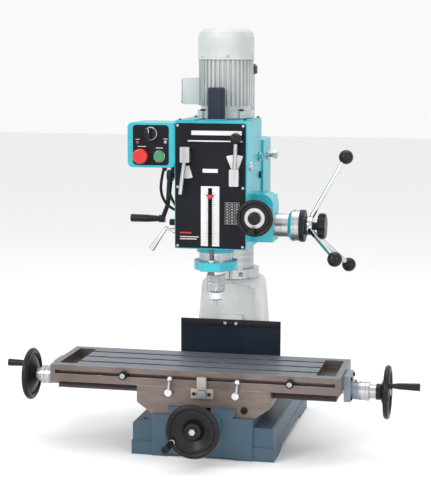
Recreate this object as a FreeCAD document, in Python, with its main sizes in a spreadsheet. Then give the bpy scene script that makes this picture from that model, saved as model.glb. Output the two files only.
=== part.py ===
"""A round-column benchtop milling machine, built as a parametric document.

Units are millimetres.  +X is to the operator's right, -Y is towards the operator
and +Z is up.  The origin is the middle of the four base bolts, on the underside.
"""
import FreeCAD
import Part
import math
import os
import Sketcher
from types import SimpleNamespace

V = FreeCAD.Vector
DOC = FreeCAD.newDocument("MillingMachine")
NODES = []

# ---------------------------------------------------------------- driving sizes
SIZES = {
    # base and pedestal
    "base_long": 612, "base_wide": 394, "base_step": 38, "wing_top": 91,
    "way_half": 139, "way_top": 115, "rib_low": 85, "rib_high": 95, "rib_top": 138.6,
    "bolt_half_x": 166, "bolt_half_y": 262, "bolt_hole": 7,
    "pedestal_top": 432, "pedestal_half": 88, "pedestal_foot": 108,
    # column
    "column_y": 132, "column_rad": 57.5, "column_wall": 12, "column_foot": 140, "column_top": 1024,
    "collar_rad": 73, "collar_top": 459, "cap_rad": 65, "cap_top": 1053,
    # saddle and table
    "table_x": -29, "table_y": -174, "table_long": 800, "table_wide": 240,
    "table_top": 237, "table_under": 190, "table_foot": 166.5, "slot_step": 63,
    "saddle_half": 185, "saddle_front": -294, "saddle_back": -64, "stop_z": 217,
    "screw_z": 178, "screw_rad": 11, "cross_z": 104, "wheel_rad": 65.5, "rim_rad": 8,
    "lock_z": 179, "cross_wheel_y": -416, "right_wheel_x": 485, "left_wheel_x": -525,
    # head
    "spindle_y": -128, "head_half": 100, "head_front": -202, "head_back": 20,
    "head_low": 556, "head_top": 903, "head_wall": 12, "web_low": 770, "web_top": 782,
    "tilt_z": 720, "sleeve_low": 600, "sleeve_top": 841, "sleeve_rad": 105,
    "motor_x": 4, "motor_y": -16, "motor_rad": 78.5, "motor_low": 905, "fan_low": 1066,
    "motor_top": 1151,
    # quill, spindle and chuck
    "quill_rad": 46, "quill_low": 490, "quill_top": 765, "spindle_rad": 20, "chuck_top": 487,
    "jaw_tip": 387, "jaw_lean": 12, "rod_y": -188,
    # quill feed
    "feed_y": -70, "feed_z": 611, "lever_x": 346, "lever_reach": 193, "lever_turn": 10.8,
    "fine_x": 131, "fine_z": 650,
    # gears: module and tooth counts
    "gear_module": 2, "motor_teeth": 18, "counter_teeth": 45, "small_teeth": 20, "drive_teeth": 50,
    "feed_teeth": 15, "lift_teeth": 14,
    # elevation crank
    "crank_y": 84, "crank_z": 730, "lift_x": -82.5, "lift_z": 701, "crank_reach": 129,
    # fits
    "run_gap": 0.05, "slide_gap": 0.1,
    # way cover
    "cover_x": 9, "cover_half": 148, "cover_y": 37.5, "cover_top": 318,
}


class Size:
    """A length that remembers the spreadsheet formula that it comes from."""

    def __init__(self, value, text):
        self.value = value
        self.text = text

    def _with(self, other, sign, result):
        return Size(result, f"({self.text} {sign} {formula(other)})")

    def __add__(self, other):
        return self._with(other, "+", self.value + number(other))

    def __sub__(self, other):
        return self._with(other, "-", self.value - number(other))

    def __mul__(self, other):
        return self._with(other, "*", self.value * number(other))

    def __truediv__(self, other):
        return self._with(other, "/", self.value / number(other))

    def __neg__(self):
        return Size(-self.value, f"(0 - {self.text})")

    __radd__ = __add__
    __rmul__ = __mul__

    def __rsub__(self, other):
        return Size(number(other) - self.value, f"({formula(other)} - {self.text})")


def number(value):
    """The plain number of a Size or a number."""
    return value.value if isinstance(value, Size) else float(value)


def formula(value):
    """The expression text of a Size or a number."""
    return value.text if isinstance(value, Size) else f"{value:.6f}"


def make_sheet():
    """Writes every driving size to the spreadsheet and returns them by name."""
    sheet = DOC.addObject("Spreadsheet::Sheet", "Dims")
    for row, (alias, value) in enumerate(SIZES.items(), start=1):
        sheet.set(f"A{row}", alias)
        sheet.set(f"B{row}", str(value))
        sheet.setAlias(f"B{row}", alias)
    DOC.recompute()
    return SimpleNamespace(**{a: Size(float(v), f"Dims.{a}") for a, v in SIZES.items()})


S = make_sheet()
SPINDLE = (0, S.spindle_y)
COLUMN = (0, S.column_y)
MOTOR = (S.motor_x, S.motor_y)
FEED = (S.feed_y, S.feed_z)
LONG_SCREW = (S.table_y, S.screw_z)
CROSS_SCREW = (0, S.cross_z)


# ---------------------------------------------------------------- solid helpers
def node(label, shape_object):
    """Names a finished sub-part; the label is also its file's name."""
    shape_object.Label = label
    NODES.append(shape_object)
    return shape_object


def put(obj, x, y, z):
    """Binds an object's position to three sizes."""
    for letter, value in zip("xyz", (x, y, z)):
        obj.setExpression(f"Placement.Base.{letter}", formula(value))
    return obj


TURNS = {
    "x": FreeCAD.Rotation(V(0, 1, 0), 90),
    "y": FreeCAD.Rotation(V(1, 0, 0), -90),
    "z": FreeCAD.Rotation(),
}


def along(axis, at, low):
    """The point at low on a line parallel to axis; at is its place on the other two axes."""
    first, second = at
    return {"x": (low, first, second), "y": (first, low, second), "z": (first, second, low)}[axis]


def box(x, y, z):
    """A box between two limits on each axis."""
    block = DOC.addObject("Part::Box", "Block")
    for prop, (low, high) in zip(("Length", "Width", "Height"), (x, y, z)):
        block.setExpression(prop, formula(high - low if isinstance(high, Size) else -(low - high)))
    return put(block, x[0], y[0], z[0])


def rod(axis, at, radius, low, high):
    """A cylinder along an axis."""
    cylinder = DOC.addObject("Part::Cylinder", "Rod")
    cylinder.Placement = FreeCAD.Placement(V(), TURNS[axis])
    cylinder.setExpression("Radius", formula(radius))
    cylinder.setExpression("Height", formula(high - low if isinstance(high, Size) else -(low - high)))
    return put(cylinder, *along(axis, at, low))


def cone(axis, at, radius_low, radius_high, low, high):
    """A truncated cone along an axis."""
    shape = DOC.addObject("Part::Cone", "Cone")
    shape.Placement = FreeCAD.Placement(V(), TURNS[axis])
    shape.setExpression("Radius1", formula(radius_low))
    shape.setExpression("Radius2", formula(radius_high))
    shape.setExpression("Height", formula(high - low if isinstance(high, Size) else -(low - high)))
    return put(shape, *along(axis, at, low))


def ball(x, y, z, radius):
    """A sphere."""
    sphere = DOC.addObject("Part::Sphere", "Ball")
    sphere.setExpression("Radius", formula(radius))
    return put(sphere, x, y, z)


def torus(axis, at, ring_radius, tube_radius, middle):
    """A torus round an axis."""
    shape = DOC.addObject("Part::Torus", "Rim")
    shape.Placement = FreeCAD.Placement(V(), TURNS[axis])
    shape.setExpression("Radius1", formula(ring_radius))
    shape.setExpression("Radius2", formula(tube_radius))
    return put(shape, *along(axis, at, middle))


def bar(start, end, radius):
    """A round bar between two points given as numbers or sizes."""
    first = V(*[number(c) for c in start])
    run = V(*[number(c) for c in end]) - first
    shape = DOC.addObject("Part::Cylinder", "Bar")
    shape.Placement = FreeCAD.Placement(first, FreeCAD.Rotation(V(0, 0, 1), run))
    shape.setExpression("Radius", formula(radius))
    shape.Height = run.Length
    return put(shape, *start)


def taper(start, end, radius_start, radius_end):
    """A round tapered bar between two points given as numbers or sizes."""
    first = V(*[number(c) for c in start])
    run = V(*[number(c) for c in end]) - first
    shape = DOC.addObject("Part::Cone", "Taper")
    shape.Placement = FreeCAD.Placement(first, FreeCAD.Rotation(V(0, 0, 1), run))
    shape.setExpression("Radius1", formula(radius_start))
    shape.setExpression("Radius2", formula(radius_end))
    shape.Height = run.Length
    return put(shape, *start)


def join(parts):
    """One shape from several that touch or overlap."""
    if len(parts) == 1:
        return parts[0]
    fused = DOC.addObject("Part::MultiFuse", "Join")
    fused.Shapes = parts
    fused.Refine = True
    return fused


def cut(base, tools):
    """The base with every tool taken away."""
    result = DOC.addObject("Part::Cut", "Cut")
    result.Base = base
    result.Tool = join(tools)
    return result


def common(first, second):
    """What two shapes share."""
    result = DOC.addObject("Part::MultiCommon", "Common")
    result.Shapes = [first, second]
    return result


def group(parts):
    """Separate solids that make one node."""
    result = DOC.addObject("Part::Compound", "Group")
    result.Links = parts
    return result


def rounded(shape_object, radius, chosen):
    """Fillets the edges for which chosen(edge) is true."""
    DOC.recompute()
    edges = [i for i, e in enumerate(shape_object.Shape.Edges, start=1) if chosen(e)]
    fillet = DOC.addObject("Part::Fillet", "Round")
    fillet.Base = shape_object
    fillet.Edges = [(i, radius, radius) for i in edges]
    return fillet


def is_parallel(edge, axis):
    """True for a straight edge that runs along an axis."""
    if not isinstance(edge.Curve, Part.Line):
        return False
    direction = edge.Curve.Direction
    return abs(abs(getattr(direction, axis)) - 1) < 1e-6


# ---------------------------------------------------------------- PartDesign bodies
class Casting:
    """A PartDesign body made of padded, pocketed and turned profiles."""

    SIGN = {"XY_Plane": 1, "XZ_Plane": -1, "YZ_Plane": 1}

    def __init__(self, label):
        self.body = DOC.addObject("PartDesign::Body", f"{label}_form")

    def origin(self, role):
        return next(f for f in self.body.Origin.OriginFeatures if f.Role == role)

    def sketch(self, role, offset):
        drawing = self.body.newObject("Sketcher::SketchObject", "Profile")
        drawing.AttachmentSupport = [(self.origin(role), "")]
        drawing.MapMode = "FlatFace"
        drawing.setExpression("AttachmentOffset.Base.z", formula(offset * self.SIGN[role]))
        return drawing

    def bind(self, drawing, kind, refs, value):
        index = drawing.addConstraint(Sketcher.Constraint(kind, *refs, number(value)))
        if isinstance(value, Size):
            drawing.setExpression(f"Constraints[{index}]", formula(value))

    def outline(self, role, offset, points):
        """A closed outline of straight lines, each corner tied to the origin."""
        drawing = self.sketch(role, offset)
        corners = [V(number(a), number(b), 0) for a, b in points]
        for i, corner in enumerate(corners):
            following = corners[(i + 1) % len(corners)]
            drawing.addGeometry(Part.LineSegment(corner, following), False)
        for i in range(len(corners)):
            drawing.addConstraint(Sketcher.Constraint("Coincident", i, 2, (i + 1) % len(corners), 1))
        for i, (a, b) in enumerate(points):
            self.bind(drawing, "DistanceX", (-1, 1, i, 1), a)
            self.bind(drawing, "DistanceY", (-1, 1, i, 1), b)
        return drawing

    def circles(self, role, offset, centres, radius):
        """Equal circles, each tied to the origin."""
        drawing = self.sketch(role, offset)
        for i, (a, b) in enumerate(centres):
            drawing.addGeometry(Part.Circle(V(number(a), number(b), 0), V(0, 0, 1), number(radius)))
            self.bind(drawing, "DistanceX", (-1, 1, i, 3), a)
            self.bind(drawing, "DistanceY", (-1, 1, i, 3), b)
            self.bind(drawing, "Radius", (i,), radius)
        return drawing

    def feature(self, kind, drawing, low, high):
        result = self.body.newObject(kind, kind.split("::")[1])
        result.Profile = drawing
        result.setExpression("Length", formula(high - low if isinstance(high, Size) else -(low - high)))
        return result

    def pad(self, role, points, low, high):
        drawing = self.outline(role, low if self.SIGN[role] > 0 else high, points)
        return self.feature("PartDesign::Pad", drawing, low, high)

    def pocket(self, role, points, low, high):
        drawing = self.outline(role, high if self.SIGN[role] > 0 else low, points)
        return self.feature("PartDesign::Pocket", drawing, low, high)

    def round_pad(self, role, centres, radius, low, high):
        drawing = self.circles(role, low if self.SIGN[role] > 0 else high, centres, radius)
        return self.feature("PartDesign::Pad", drawing, low, high)

    def bore(self, role, centres, radius, low, high):
        drawing = self.circles(role, high if self.SIGN[role] > 0 else low, centres, radius)
        return self.feature("PartDesign::Pocket", drawing, low, high)

    def loft(self, role, sections):
        """A solid through outlines at several offsets."""
        drawings = [self.outline(role, offset, points) for offset, points in sections]
        result = self.body.newObject("PartDesign::AdditiveLoft", "Loft")
        result.Profile = drawings[0]
        result.Sections = drawings[1:]
        result.Ruled = True
        return result

    def revolve(self, points, kind="Revolution"):
        """A solid turned about the body's own Z axis from (radius, height) points."""
        drawing = self.outline("XZ_Plane", 0, points)
        result = self.body.newObject(f"PartDesign::{kind}", kind)
        result.Profile = drawing
        result.ReferenceAxis = (drawing, ["V_Axis"])
        result.Angle = 360
        return result

    def polar(self, features, count):
        """Repeats features round the body's own Z axis."""
        pattern = self.body.newObject("PartDesign::PolarPattern", "Polar")
        pattern.Originals = features
        pattern.Axis = (self.origin("Z_Axis"), [""])
        pattern.Angle = 360
        pattern.Occurrences = count
        self.body.Tip = pattern
        return pattern

    def fillet(self, radius, chosen):
        """Rounds the edges of the newest feature for which chosen(edge) is true."""
        DOC.recompute()
        tip = self.body.Tip
        names = [f"Edge{i}" for i, e in enumerate(tip.Shape.Edges, start=1) if chosen(e)]
        result = self.body.newObject("PartDesign::Fillet", "Fillet")
        result.Base = (tip, names)
        result.Radius = radius
        return result


def mirrored(points, middle=0):
    """A right-hand outline and its mirror image about a vertical line, as one loop."""
    left = [(2 * middle - a, b) for a, b in reversed(points)]
    return list(points) + left


def rectangle(half_a, half_b, middle_a=0, middle_b=0):
    """The four corners of a rectangle."""
    return [
        (middle_a - half_a, middle_b - half_b), (middle_a + half_a, middle_b - half_b),
        (middle_a + half_a, middle_b + half_b), (middle_a - half_a, middle_b + half_b),
    ]


def soft_rectangle(half_a, half_b, corner, middle_b=0):
    """A rectangle with rounded corners, four short sides to each corner."""
    points = []
    for side_a, side_b, start in ((1, -1, -90), (1, 1, 0), (-1, 1, 90), (-1, -1, 180)):
        for step in range(5):
            angle = math.radians(start + 90 * step / 4)
            centre_a = side_a * (half_a - corner)
            centre_b = middle_b + side_b * (half_b - corner)
            points.append((centre_a + corner * math.cos(angle), centre_b + corner * math.sin(angle)))
    return points


# ---------------------------------------------------------------- gears
PRESSURE = math.radians(20)
STUB = 0.8  # tooth height above the pitch line, in modules
ROOT = 1.05  # tooth depth below the pitch line, in modules
THINNING = 0.3  # taken off each tooth at the pitch line, for backlash


def involute_angle(radius, base):
    """The involute's polar angle at a radius, from where it leaves the base circle."""
    grow = math.sqrt(max((radius / base) ** 2 - 1, 0))
    return grow - math.atan(grow)


def gear(teeth, axis, at, low, high, facing):
    """A spur gear along an axis, one tooth pointing at the angle facing, in degrees."""
    module = S.gear_module.value
    count = int(number(teeth))
    pitch = module * count / 2
    base = pitch * math.cos(PRESSURE)
    tip = pitch + STUB * module
    root = pitch - ROOT * module
    half_tooth = (math.pi * module / 2 - THINNING) / 2 / pitch + involute_angle(pitch, base)
    first = max(base, root)
    steps = 5
    radii = [first + (tip - first) * i / steps for i in range(steps + 1)]
    flank = [(r, half_tooth - involute_angle(r, base)) for r in radii]
    points = []
    for k in range(count):
        middle = 2 * math.pi * k / count
        tooth = [(r, -a) for r, a in flank] + [(r, a) for r, a in reversed(flank)]
        if root < base:
            tooth = [(root, -flank[0][1])] + tooth + [(root, flank[0][1])]
        for radius, angle in tooth:
            points.append(V(radius * math.cos(middle + angle), radius * math.sin(middle + angle), 0))
    points.append(points[0])
    solid = Part.Face(Part.makePolygon(points)).extrude(V(0, 0, number(high) - number(low)))
    wheel = DOC.addObject("Part::Feature", "Gear")
    wheel.Shape = solid
    place = V(*[number(c) for c in along(axis, at, low)])
    # an X gear's own X axis lies along -Z, a Y gear's own X axis along +X
    turn = FreeCAD.Rotation(V(0, 0, 1), facing + (90 if axis == "x" else 0))
    wheel.Placement = FreeCAD.Placement(place, TURNS[axis].multiply(turn))
    return wheel


def rack(width, back, pitch_line, length, gap_at):
    """A toothed strip as (depth, along) outline; a gap is centred gap_at from its start.

    Depth grows towards the pinion.  The strip is made in its own frame: depth is X,
    the length is Z and the width is Y.
    """
    module = S.gear_module.value
    step = math.pi * module
    slope = math.tan(PRESSURE)
    half_pitch = (step / 2 - THINNING) / 2
    half_tip = half_pitch - STUB * module * slope
    half_root = half_pitch + ROOT * module * slope
    tip = pitch_line + STUB * module
    root = pitch_line - ROOT * module
    offset = gap_at % step - step / 2
    points = [V(back, 0, 0), V(root, 0, 0)]
    for k in range(int(length / step) + 2):
        middle = offset + k * step
        if middle - half_root > 0 and middle + half_root < length:
            points.append(V(root, 0, middle - half_root))
            points.append(V(tip, 0, middle - half_tip))
            points.append(V(tip, 0, middle + half_tip))
            points.append(V(root, 0, middle + half_root))
    points.append(V(root, 0, length))
    points.append(V(back, 0, length))
    points.append(points[0])
    face = Part.Face(Part.makePolygon(points))
    strip = DOC.addObject("Part::Feature", "RackStrip")
    strip.Shape = face.extrude(V(0, width, 0))
    return strip


# ---------------------------------------------------------------- base and column
def make_base():
    """The base casting: stepped sides, four feet, ways, and a slot for the cross screw."""
    half = S.base_wide / 2
    end = S.base_long / 2
    base = Casting("base_casting")
    sides = [
        (half, 0), (half, S.base_step), (half - 3, S.base_step + 3), (half - 3, S.wing_top - 4),
        (half - 7, S.wing_top), (S.way_half, S.wing_top), (S.way_half, S.way_top),
    ]
    base.pad("XZ_Plane", mirrored(sides), -end, end)
    rib_end = 32
    base.pad("XZ_Plane", mirrored([(S.rib_low, S.way_top), (S.rib_high, S.rib_top)]), -end, rib_end)
    base.pocket("XZ_Plane", [(-24, 80), (24, 80), (24, 145), (-24, 145)], -end, rib_end)
    base.pocket("XY_Plane", rectangle(175, 222), 0, 66)
    base.pocket("XY_Plane", rectangle(120, 288), 0, 66)
    base.pocket("XZ_Plane", [(-98, 0), (98, 0), (92, 6), (-92, 6)], -end, end)
    base.pocket("YZ_Plane", [(-209, 0), (194, 0), (146, 13), (-161, 13)], -half, half)
    wing_middle = (half + S.way_half) / 2
    wing_half = (half - S.way_half) / 2
    for side in (-1, 1):
        for face in (-1, 1):
            for set_back, low, high in ((4, 0, S.base_step), (8, S.base_step, S.wing_top)):
                step = rectangle(wing_half, set_back / 2, side * wing_middle, face * (end - set_back / 2))
                base.pocket("XY_Plane", step, low, high)
    corners = [(a * S.bolt_half_x, b * S.bolt_half_y) for a in (-1, 1) for b in (-1, 1)]
    base.bore("XY_Plane", corners, S.bolt_hole, 0, S.wing_top)
    node("base_casting", base.body)


def make_pedestal():
    """The tapered casting that holds the column, with an arched front panel."""
    foot_depth = 98
    top_depth = 80
    seat = 22
    shoulder = 22
    corner = 34
    pedestal = Casting("column_pedestal")
    sections = [(S.way_top + seat, soft_rectangle(S.pedestal_foot, foot_depth, corner, S.column_y))]
    for step in range(5):
        angle = math.pi / 2 * step / 4
        shrink = shoulder * (1 - math.cos(angle))
        height = S.pedestal_top - shoulder * (1 - math.sin(angle))
        half_wide = S.pedestal_half - shrink
        sections.append((height, soft_rectangle(half_wide, top_depth - shrink, corner - shrink, S.column_y)))
    pedestal.loft("XY_Plane", sections)
    pedestal.pad("XY_Plane", rectangle(118, 98, 0, S.column_y), S.way_top, S.way_top + seat)
    pedestal.pocket("XY_Plane", rectangle(82, 70, 0, S.column_y), S.way_top, 340)
    pedestal.bore("XY_Plane", [COLUMN], S.column_rad, S.column_foot, S.pedestal_top)
    arch_rad = 175
    arch = common(
        rod("y", (0, 422 - arch_rad), arch_rad, 45, 74),
        box((-78, 78), (45, 74), (150, 430)),
    )
    pad = 34
    boss = box((S.cover_x - pad, S.cover_x + pad), (S.cover_y + 0.1, 60), (S.cover_top - 20, S.cover_top + 15))
    node("column_pedestal", join([pedestal.body, arch, boss]))


def make_column():
    """The column tube, the collar under the rack and the cap over it."""
    tube = cut(
        rod("z", COLUMN, S.column_rad, S.column_foot, S.column_top),
        [rod("z", COLUMN, S.column_rad - S.column_wall, S.column_foot, S.column_top)],
    )
    node("column", tube)
    collar = cut(
        rod("z", COLUMN, S.collar_rad, S.pedestal_top, S.collar_top),
        [
            rod("z", COLUMN, S.column_rad, S.pedestal_top, S.collar_top),
            box((-1.5, 1.5), (S.column_y - 80, S.column_y - 50), (S.pedestal_top, S.collar_top)),
        ],
    )
    screws = [rod("x", (S.column_y - 66, 446), 6, low, low + 9) for low in (-38, 29)]
    node("column_collar", join([collar] + screws))
    cap = Casting("column_cap")
    low = S.column_top
    cap.revolve([
        (0, low), (S.cap_rad - 2, low), (S.cap_rad, low + 2), (S.cap_rad, S.cap_top - 7),
        (S.cap_rad - 7, S.cap_top), (0, S.cap_top),
    ])
    put(cap.body, 0, S.column_y, 0)
    plug = rod("z", COLUMN, S.column_rad - S.column_wall, low - 18, low + 1)
    node("column_cap", join([cap.body, plug]))


def make_cross_bracket():
    """The bearing bracket for the cross screw on the front of the base."""
    front = -S.base_long / 2
    bracket = Casting("screw_bracket")
    bracket.pad("XZ_Plane", mirrored([(44, 70), (52, 80), (52, 115), (12, 136)]), front - 12, front)
    bracket.round_pad("XZ_Plane", [CROSS_SCREW], 23, front - 16, front - 12)
    bracket.bore("XZ_Plane", [CROSS_SCREW], S.screw_rad + S.run_gap, front - 16, front)
    bracket.bore("XZ_Plane", [(-36, 100), (36, 100)], 7, front - 12, front - 5)
    node("screw_bracket", bracket.body)


def make_way_cover():
    """The rubber sheet that hangs from the pedestal and runs under the table to the saddle."""
    thick = 3
    bend = 26
    foot = S.saddle_back.value + 1.5
    floor = 168
    outer = S.cover_y.value
    path = [(outer, S.cover_top.value)]
    for step in range(7):
        turn = math.radians(15 * step)
        path.append((outer - bend + bend * math.cos(turn), floor + bend - bend * math.sin(turn)))
    path.append((foot, floor))
    inner = [(outer - thick, S.cover_top.value)]
    for step in range(7):
        turn = math.radians(15 * step)
        reach = bend - thick
        inner.append((outer - bend + reach * math.cos(turn), floor + bend - reach * math.sin(turn)))
    inner.append((foot, floor + thick))
    cover = Casting("way_cover")
    cover.pad("YZ_Plane", path + inner[::-1], S.cover_x - S.cover_half, S.cover_x + S.cover_half)
    node("way_cover", cover.body)


# ---------------------------------------------------------------- saddle and table
LOCKS_X = (-91, 93)


def make_saddle():
    """The saddle: dovetails below (along Y) and above (along X), and its lock bores."""
    gap = S.slide_gap / 2
    saddle = Casting("saddle")
    profile = [
        (S.rib_low + S.slide_gap, S.way_top + gap), (142, S.way_top + gap),
        (S.saddle_half, 145), (S.saddle_half, S.table_under - gap),
    ]
    under = [(-S.rib_high - S.slide_gap, S.rib_top + gap), (S.rib_high + S.slide_gap, S.rib_top + gap)]
    saddle.pad("XZ_Plane", mirrored(profile) + under, S.saddle_front, S.saddle_back)
    channel = mirrored([(S.table_y + 92.2, S.table_foot - gap), (S.table_y + 82.2, S.table_under)], S.table_y)
    saddle.pocket("YZ_Plane", channel, -S.saddle_half, S.saddle_half)
    screw_way = mirrored([(S.table_y + 14, 164), (S.table_y + 14, 177)], S.table_y)
    saddle.pocket("YZ_Plane", screw_way, -S.saddle_half, S.saddle_half)
    saddle.pocket("XY_Plane", rectangle(28, 15, 0, S.table_y), 130, 180)
    for x in LOCKS_X:
        saddle.bore("XZ_Plane", [(x, S.lock_z)], 6 + S.run_gap, S.saddle_front, S.saddle_front + 24)
    saddle.fillet(6, lambda e: is_parallel(e, "z") and abs(abs(e.CenterOfMass.x) - 185) < 1)
    node("saddle", saddle.body)


def make_stop_bracket():
    """The block on the saddle's front that the table stops meet."""
    front = S.saddle_front
    plate = rounded(box((-30, 31), (front - 12, front), (166, 192)), 3, lambda e: is_parallel(e, "y"))
    post = box((-13, 12), (front - 16, front - 2), (190, 224))
    heads = [rod("y", (x, 179), 5, front - 16, front - 12) for x in (-20, 21)]
    node("stop_bracket", join([plate, post] + heads))


def make_feed_nuts():
    """The bronze nuts of the two feed screws, held in the saddle."""
    y = S.table_y
    long_nut = cut(
        box((-28, 28), (y - 15, y + 15), (158, 195)),
        [rod("x", LONG_SCREW, S.screw_rad + S.run_gap, -28, 28)],
    )
    cross_nut = cut(
        box((-20, 20), (y - 15, y + 15), (86, 158)),
        [rod("y", CROSS_SCREW, 10 + S.run_gap, y - 15, y + 15)],
    )
    node("feed_nuts", group([long_nut, cross_nut]))


def make_table_lock(label, x):
    """A ball lever that locks the table, on a stub shaft in the saddle's front."""
    front = S.saddle_front
    tip = (x + 8, front - 34, S.lock_z + 41)
    hub = rod("y", (x, S.lock_z), 10, front - 22, front - 0.2)
    shaft = rod("y", (x, S.lock_z), 6, front - 1, front + 22)
    lever = taper((x, front - 13, S.lock_z), tip, 6, 3.5)
    knob = ball(*tip, 7.5)
    node(label, join([hub, shaft, lever, knob]))


def make_table():
    """The table: three T-slots, end troughs, a front stop groove and a dovetail foot."""
    middle = S.table_x
    left = middle - S.table_long / 2
    right = middle + S.table_long / 2
    half = S.table_wide / 2
    front = S.table_y - half
    table = Casting("table")
    table.pad("YZ_Plane", rectangle(half, (S.table_top - S.table_under) / 2, S.table_y,
                                    (S.table_top + S.table_under) / 2), left, right)
    foot = mirrored([(S.table_y + 92, S.table_foot), (S.table_y + 82, S.table_under)], S.table_y)
    table.pad("YZ_Plane", foot, left + 13, right - 13)
    slot_left = middle - 332
    slot_right = middle + 332
    for row in (-1, 0, 1):
        y = S.table_y + row * S.slot_step
        tee = [(y + 12, 216), (y + 12, 226), (y + 7, 226), (y + 7, S.table_top)]
        table.pocket("YZ_Plane", mirrored(tee, y), slot_left, slot_right)
    trough_floor = S.table_top - 22
    for low, high in ((slot_left - 50, slot_left), (slot_right, slot_right + 52)):
        centre = (low + high) / 2
        wide = (high - low) / 2
        table.pocket("XY_Plane", rectangle(wide, 96, centre, S.table_y), trough_floor, S.table_top)
    groove = mirrored([(S.stop_z + 5, front), (S.stop_z + 5, front + 10), (S.stop_z + 8, front + 10),
                       (S.stop_z + 8, front + 18)], S.stop_z)
    table.pocket("YZ_Plane", [(b, a) for a, b in groove], left + 13, right - 13)
    screw_way = mirrored([(S.table_y + 15.5, S.table_foot), (S.table_y + 15.5, 197)], S.table_y)
    table.pocket("YZ_Plane", screw_way, left, right)
    node("table", table.body)


def make_table_stop(label, x):
    """A clamping stop: a round head outside the groove and a T-nut inside it."""
    front = S.table_y - S.table_wide / 2
    head = rod("y", (x, S.stop_z), 11, front - 15, front - 0.2)
    neck = rod("y", (x, S.stop_z), 4.8, front - 1, front + 11)
    tee = box((x - 10, x + 10), (front + 10.2, front + 17.8), (S.stop_z - 7.8, S.stop_z + 7.8))
    node(label, join([head, neck, tee]))


def make_end_brackets():
    """The two bearing plates that carry the long screw at the table's ends."""
    left = S.table_x - S.table_long / 2
    right = S.table_x + S.table_long / 2
    y, z = LONG_SCREW
    brackets = []
    for low, high, boss_low, boss_high, under in (
        (left - 18, left, left - 34, left - 18, S.table_foot),
        (right, right + 18, right + 18, right + 37, z - 25),
    ):
        plate = rounded(box((low, high), (y - 42, y + 42), (under, z + 50)), 10,
                        lambda e: is_parallel(e, "x"))
        boss = rod("x", LONG_SCREW, 24, boss_low, boss_high)
        oiler = rod("z", ((boss_low + boss_high) / 2, y), 4, z + 20, z + 30)
        bore = rod("x", LONG_SCREW, S.screw_rad + S.run_gap, boss_low - 1, high + 20)
        bore_low = rod("x", LONG_SCREW, S.screw_rad + S.run_gap, low - 1, boss_high + 1)
        brackets.append(cut(join([plate, boss, oiler]), [bore, bore_low]))
    node("end_brackets", group(brackets))


def handwheel(axis, at, middle, hub_low, hub_high, pin, pin_end):
    """A dished handwheel with a bore, and the fixed pin that its grip turns on."""
    rim = torus(axis, at, S.wheel_rad, S.rim_rad, middle)
    outwards = number(pin_end) > number(middle)
    # the dish runs in from the rim to the hub, away from the operator
    if outwards:
        dish = cut(cone(axis, at, 22, S.wheel_rad, middle - 18, middle + 2),
                   [cone(axis, at, 22, S.wheel_rad, middle - 11, middle + 9)])
        seat = rod(axis, pin, 9, middle - 2, middle + 12)
        post = rod(axis, pin, 4, middle, pin_end)
    else:
        dish = cut(cone(axis, at, S.wheel_rad, 22, middle - 2, middle + 18),
                   [cone(axis, at, S.wheel_rad, 22, middle - 9, middle + 11)])
        seat = rod(axis, pin, 9, middle - 12, middle + 2)
        post = rod(axis, pin, 4, pin_end, middle)
    hub = rod(axis, at, 22, hub_low, hub_high)
    return cut(join([rim, dish, hub, seat, post]), [rod(axis, at, 9, hub_low - 1, hub_high + 1)])


def grip(axis, pin, low, high, thick_end):
    """A turned grip that swells towards its free end, with a bore for its pin."""
    waist = low + (high - low) * (0.72 if thick_end == "low" else 0.28)
    if thick_end == "low":
        body = join([cone(axis, pin, 10.5, 8.5, low, waist), cone(axis, pin, 8.5, 5.5, waist, high)])
    else:
        body = join([cone(axis, pin, 5.5, 8.5, low, waist), cone(axis, pin, 8.5, 10.5, waist, high)])
    return cut(body, [rod(axis, pin, 4 + S.run_gap, low - 1, high + 1)])


WHEEL_PIN = 58  # radius of the grip pin's circle on every handwheel


def wheel_pin(at, degrees):
    """The place of a grip pin, at an angle in the plane of the wheel."""
    turn = math.radians(degrees)
    return (at[0] + WHEEL_PIN * math.cos(turn), at[1] + WHEEL_PIN * math.sin(turn))


RIGHT_PIN = wheel_pin(LONG_SCREW, 149)
LEFT_PIN = wheel_pin(LONG_SCREW, 16)
CROSS_PIN = wheel_pin(CROSS_SCREW, 208)
GRIP_END = 90  # from a wheel's middle to the free end of its grip


def make_long_screw():
    """The long screw with its two dials, the handwheels at its ends and their grips."""
    left = S.table_x - S.table_long / 2
    right = S.table_x + S.table_long / 2
    right_hub = right + 84
    left_hub = left - 79
    screw = join([
        rod("x", LONG_SCREW, S.screw_rad, left - 36, right + 40),
        rod("x", LONG_SCREW, 25, right + 37.2, right + 67),
        rod("x", LONG_SCREW, 19, right + 67, right_hub),
        rod("x", LONG_SCREW, 9, right_hub - 2, S.right_wheel_x + 1),
        rod("x", LONG_SCREW, 25, left - 64, left - 34.2),
        rod("x", LONG_SCREW, 19, left_hub + 2, left - 64),
        rod("x", LONG_SCREW, 9, S.left_wheel_x - 1, left_hub + 4),
    ])
    node("long_screw", screw)
    right_end = S.right_wheel_x + GRIP_END
    left_end = S.left_wheel_x - GRIP_END
    right_wheel = handwheel("x", LONG_SCREW, S.right_wheel_x, right_hub, S.right_wheel_x, RIGHT_PIN,
                            right_end - 3)
    left_wheel = handwheel("x", LONG_SCREW, S.left_wheel_x, S.left_wheel_x, left_hub, LEFT_PIN,
                           left_end + 3)
    node("long_handwheels", group([right_wheel, left_wheel]))
    node("grip_right", grip("x", RIGHT_PIN, S.right_wheel_x + 12.2, right_end, "high"))
    node("grip_left", grip("x", LEFT_PIN, left_end, S.left_wheel_x - 12.2, "low"))


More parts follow.
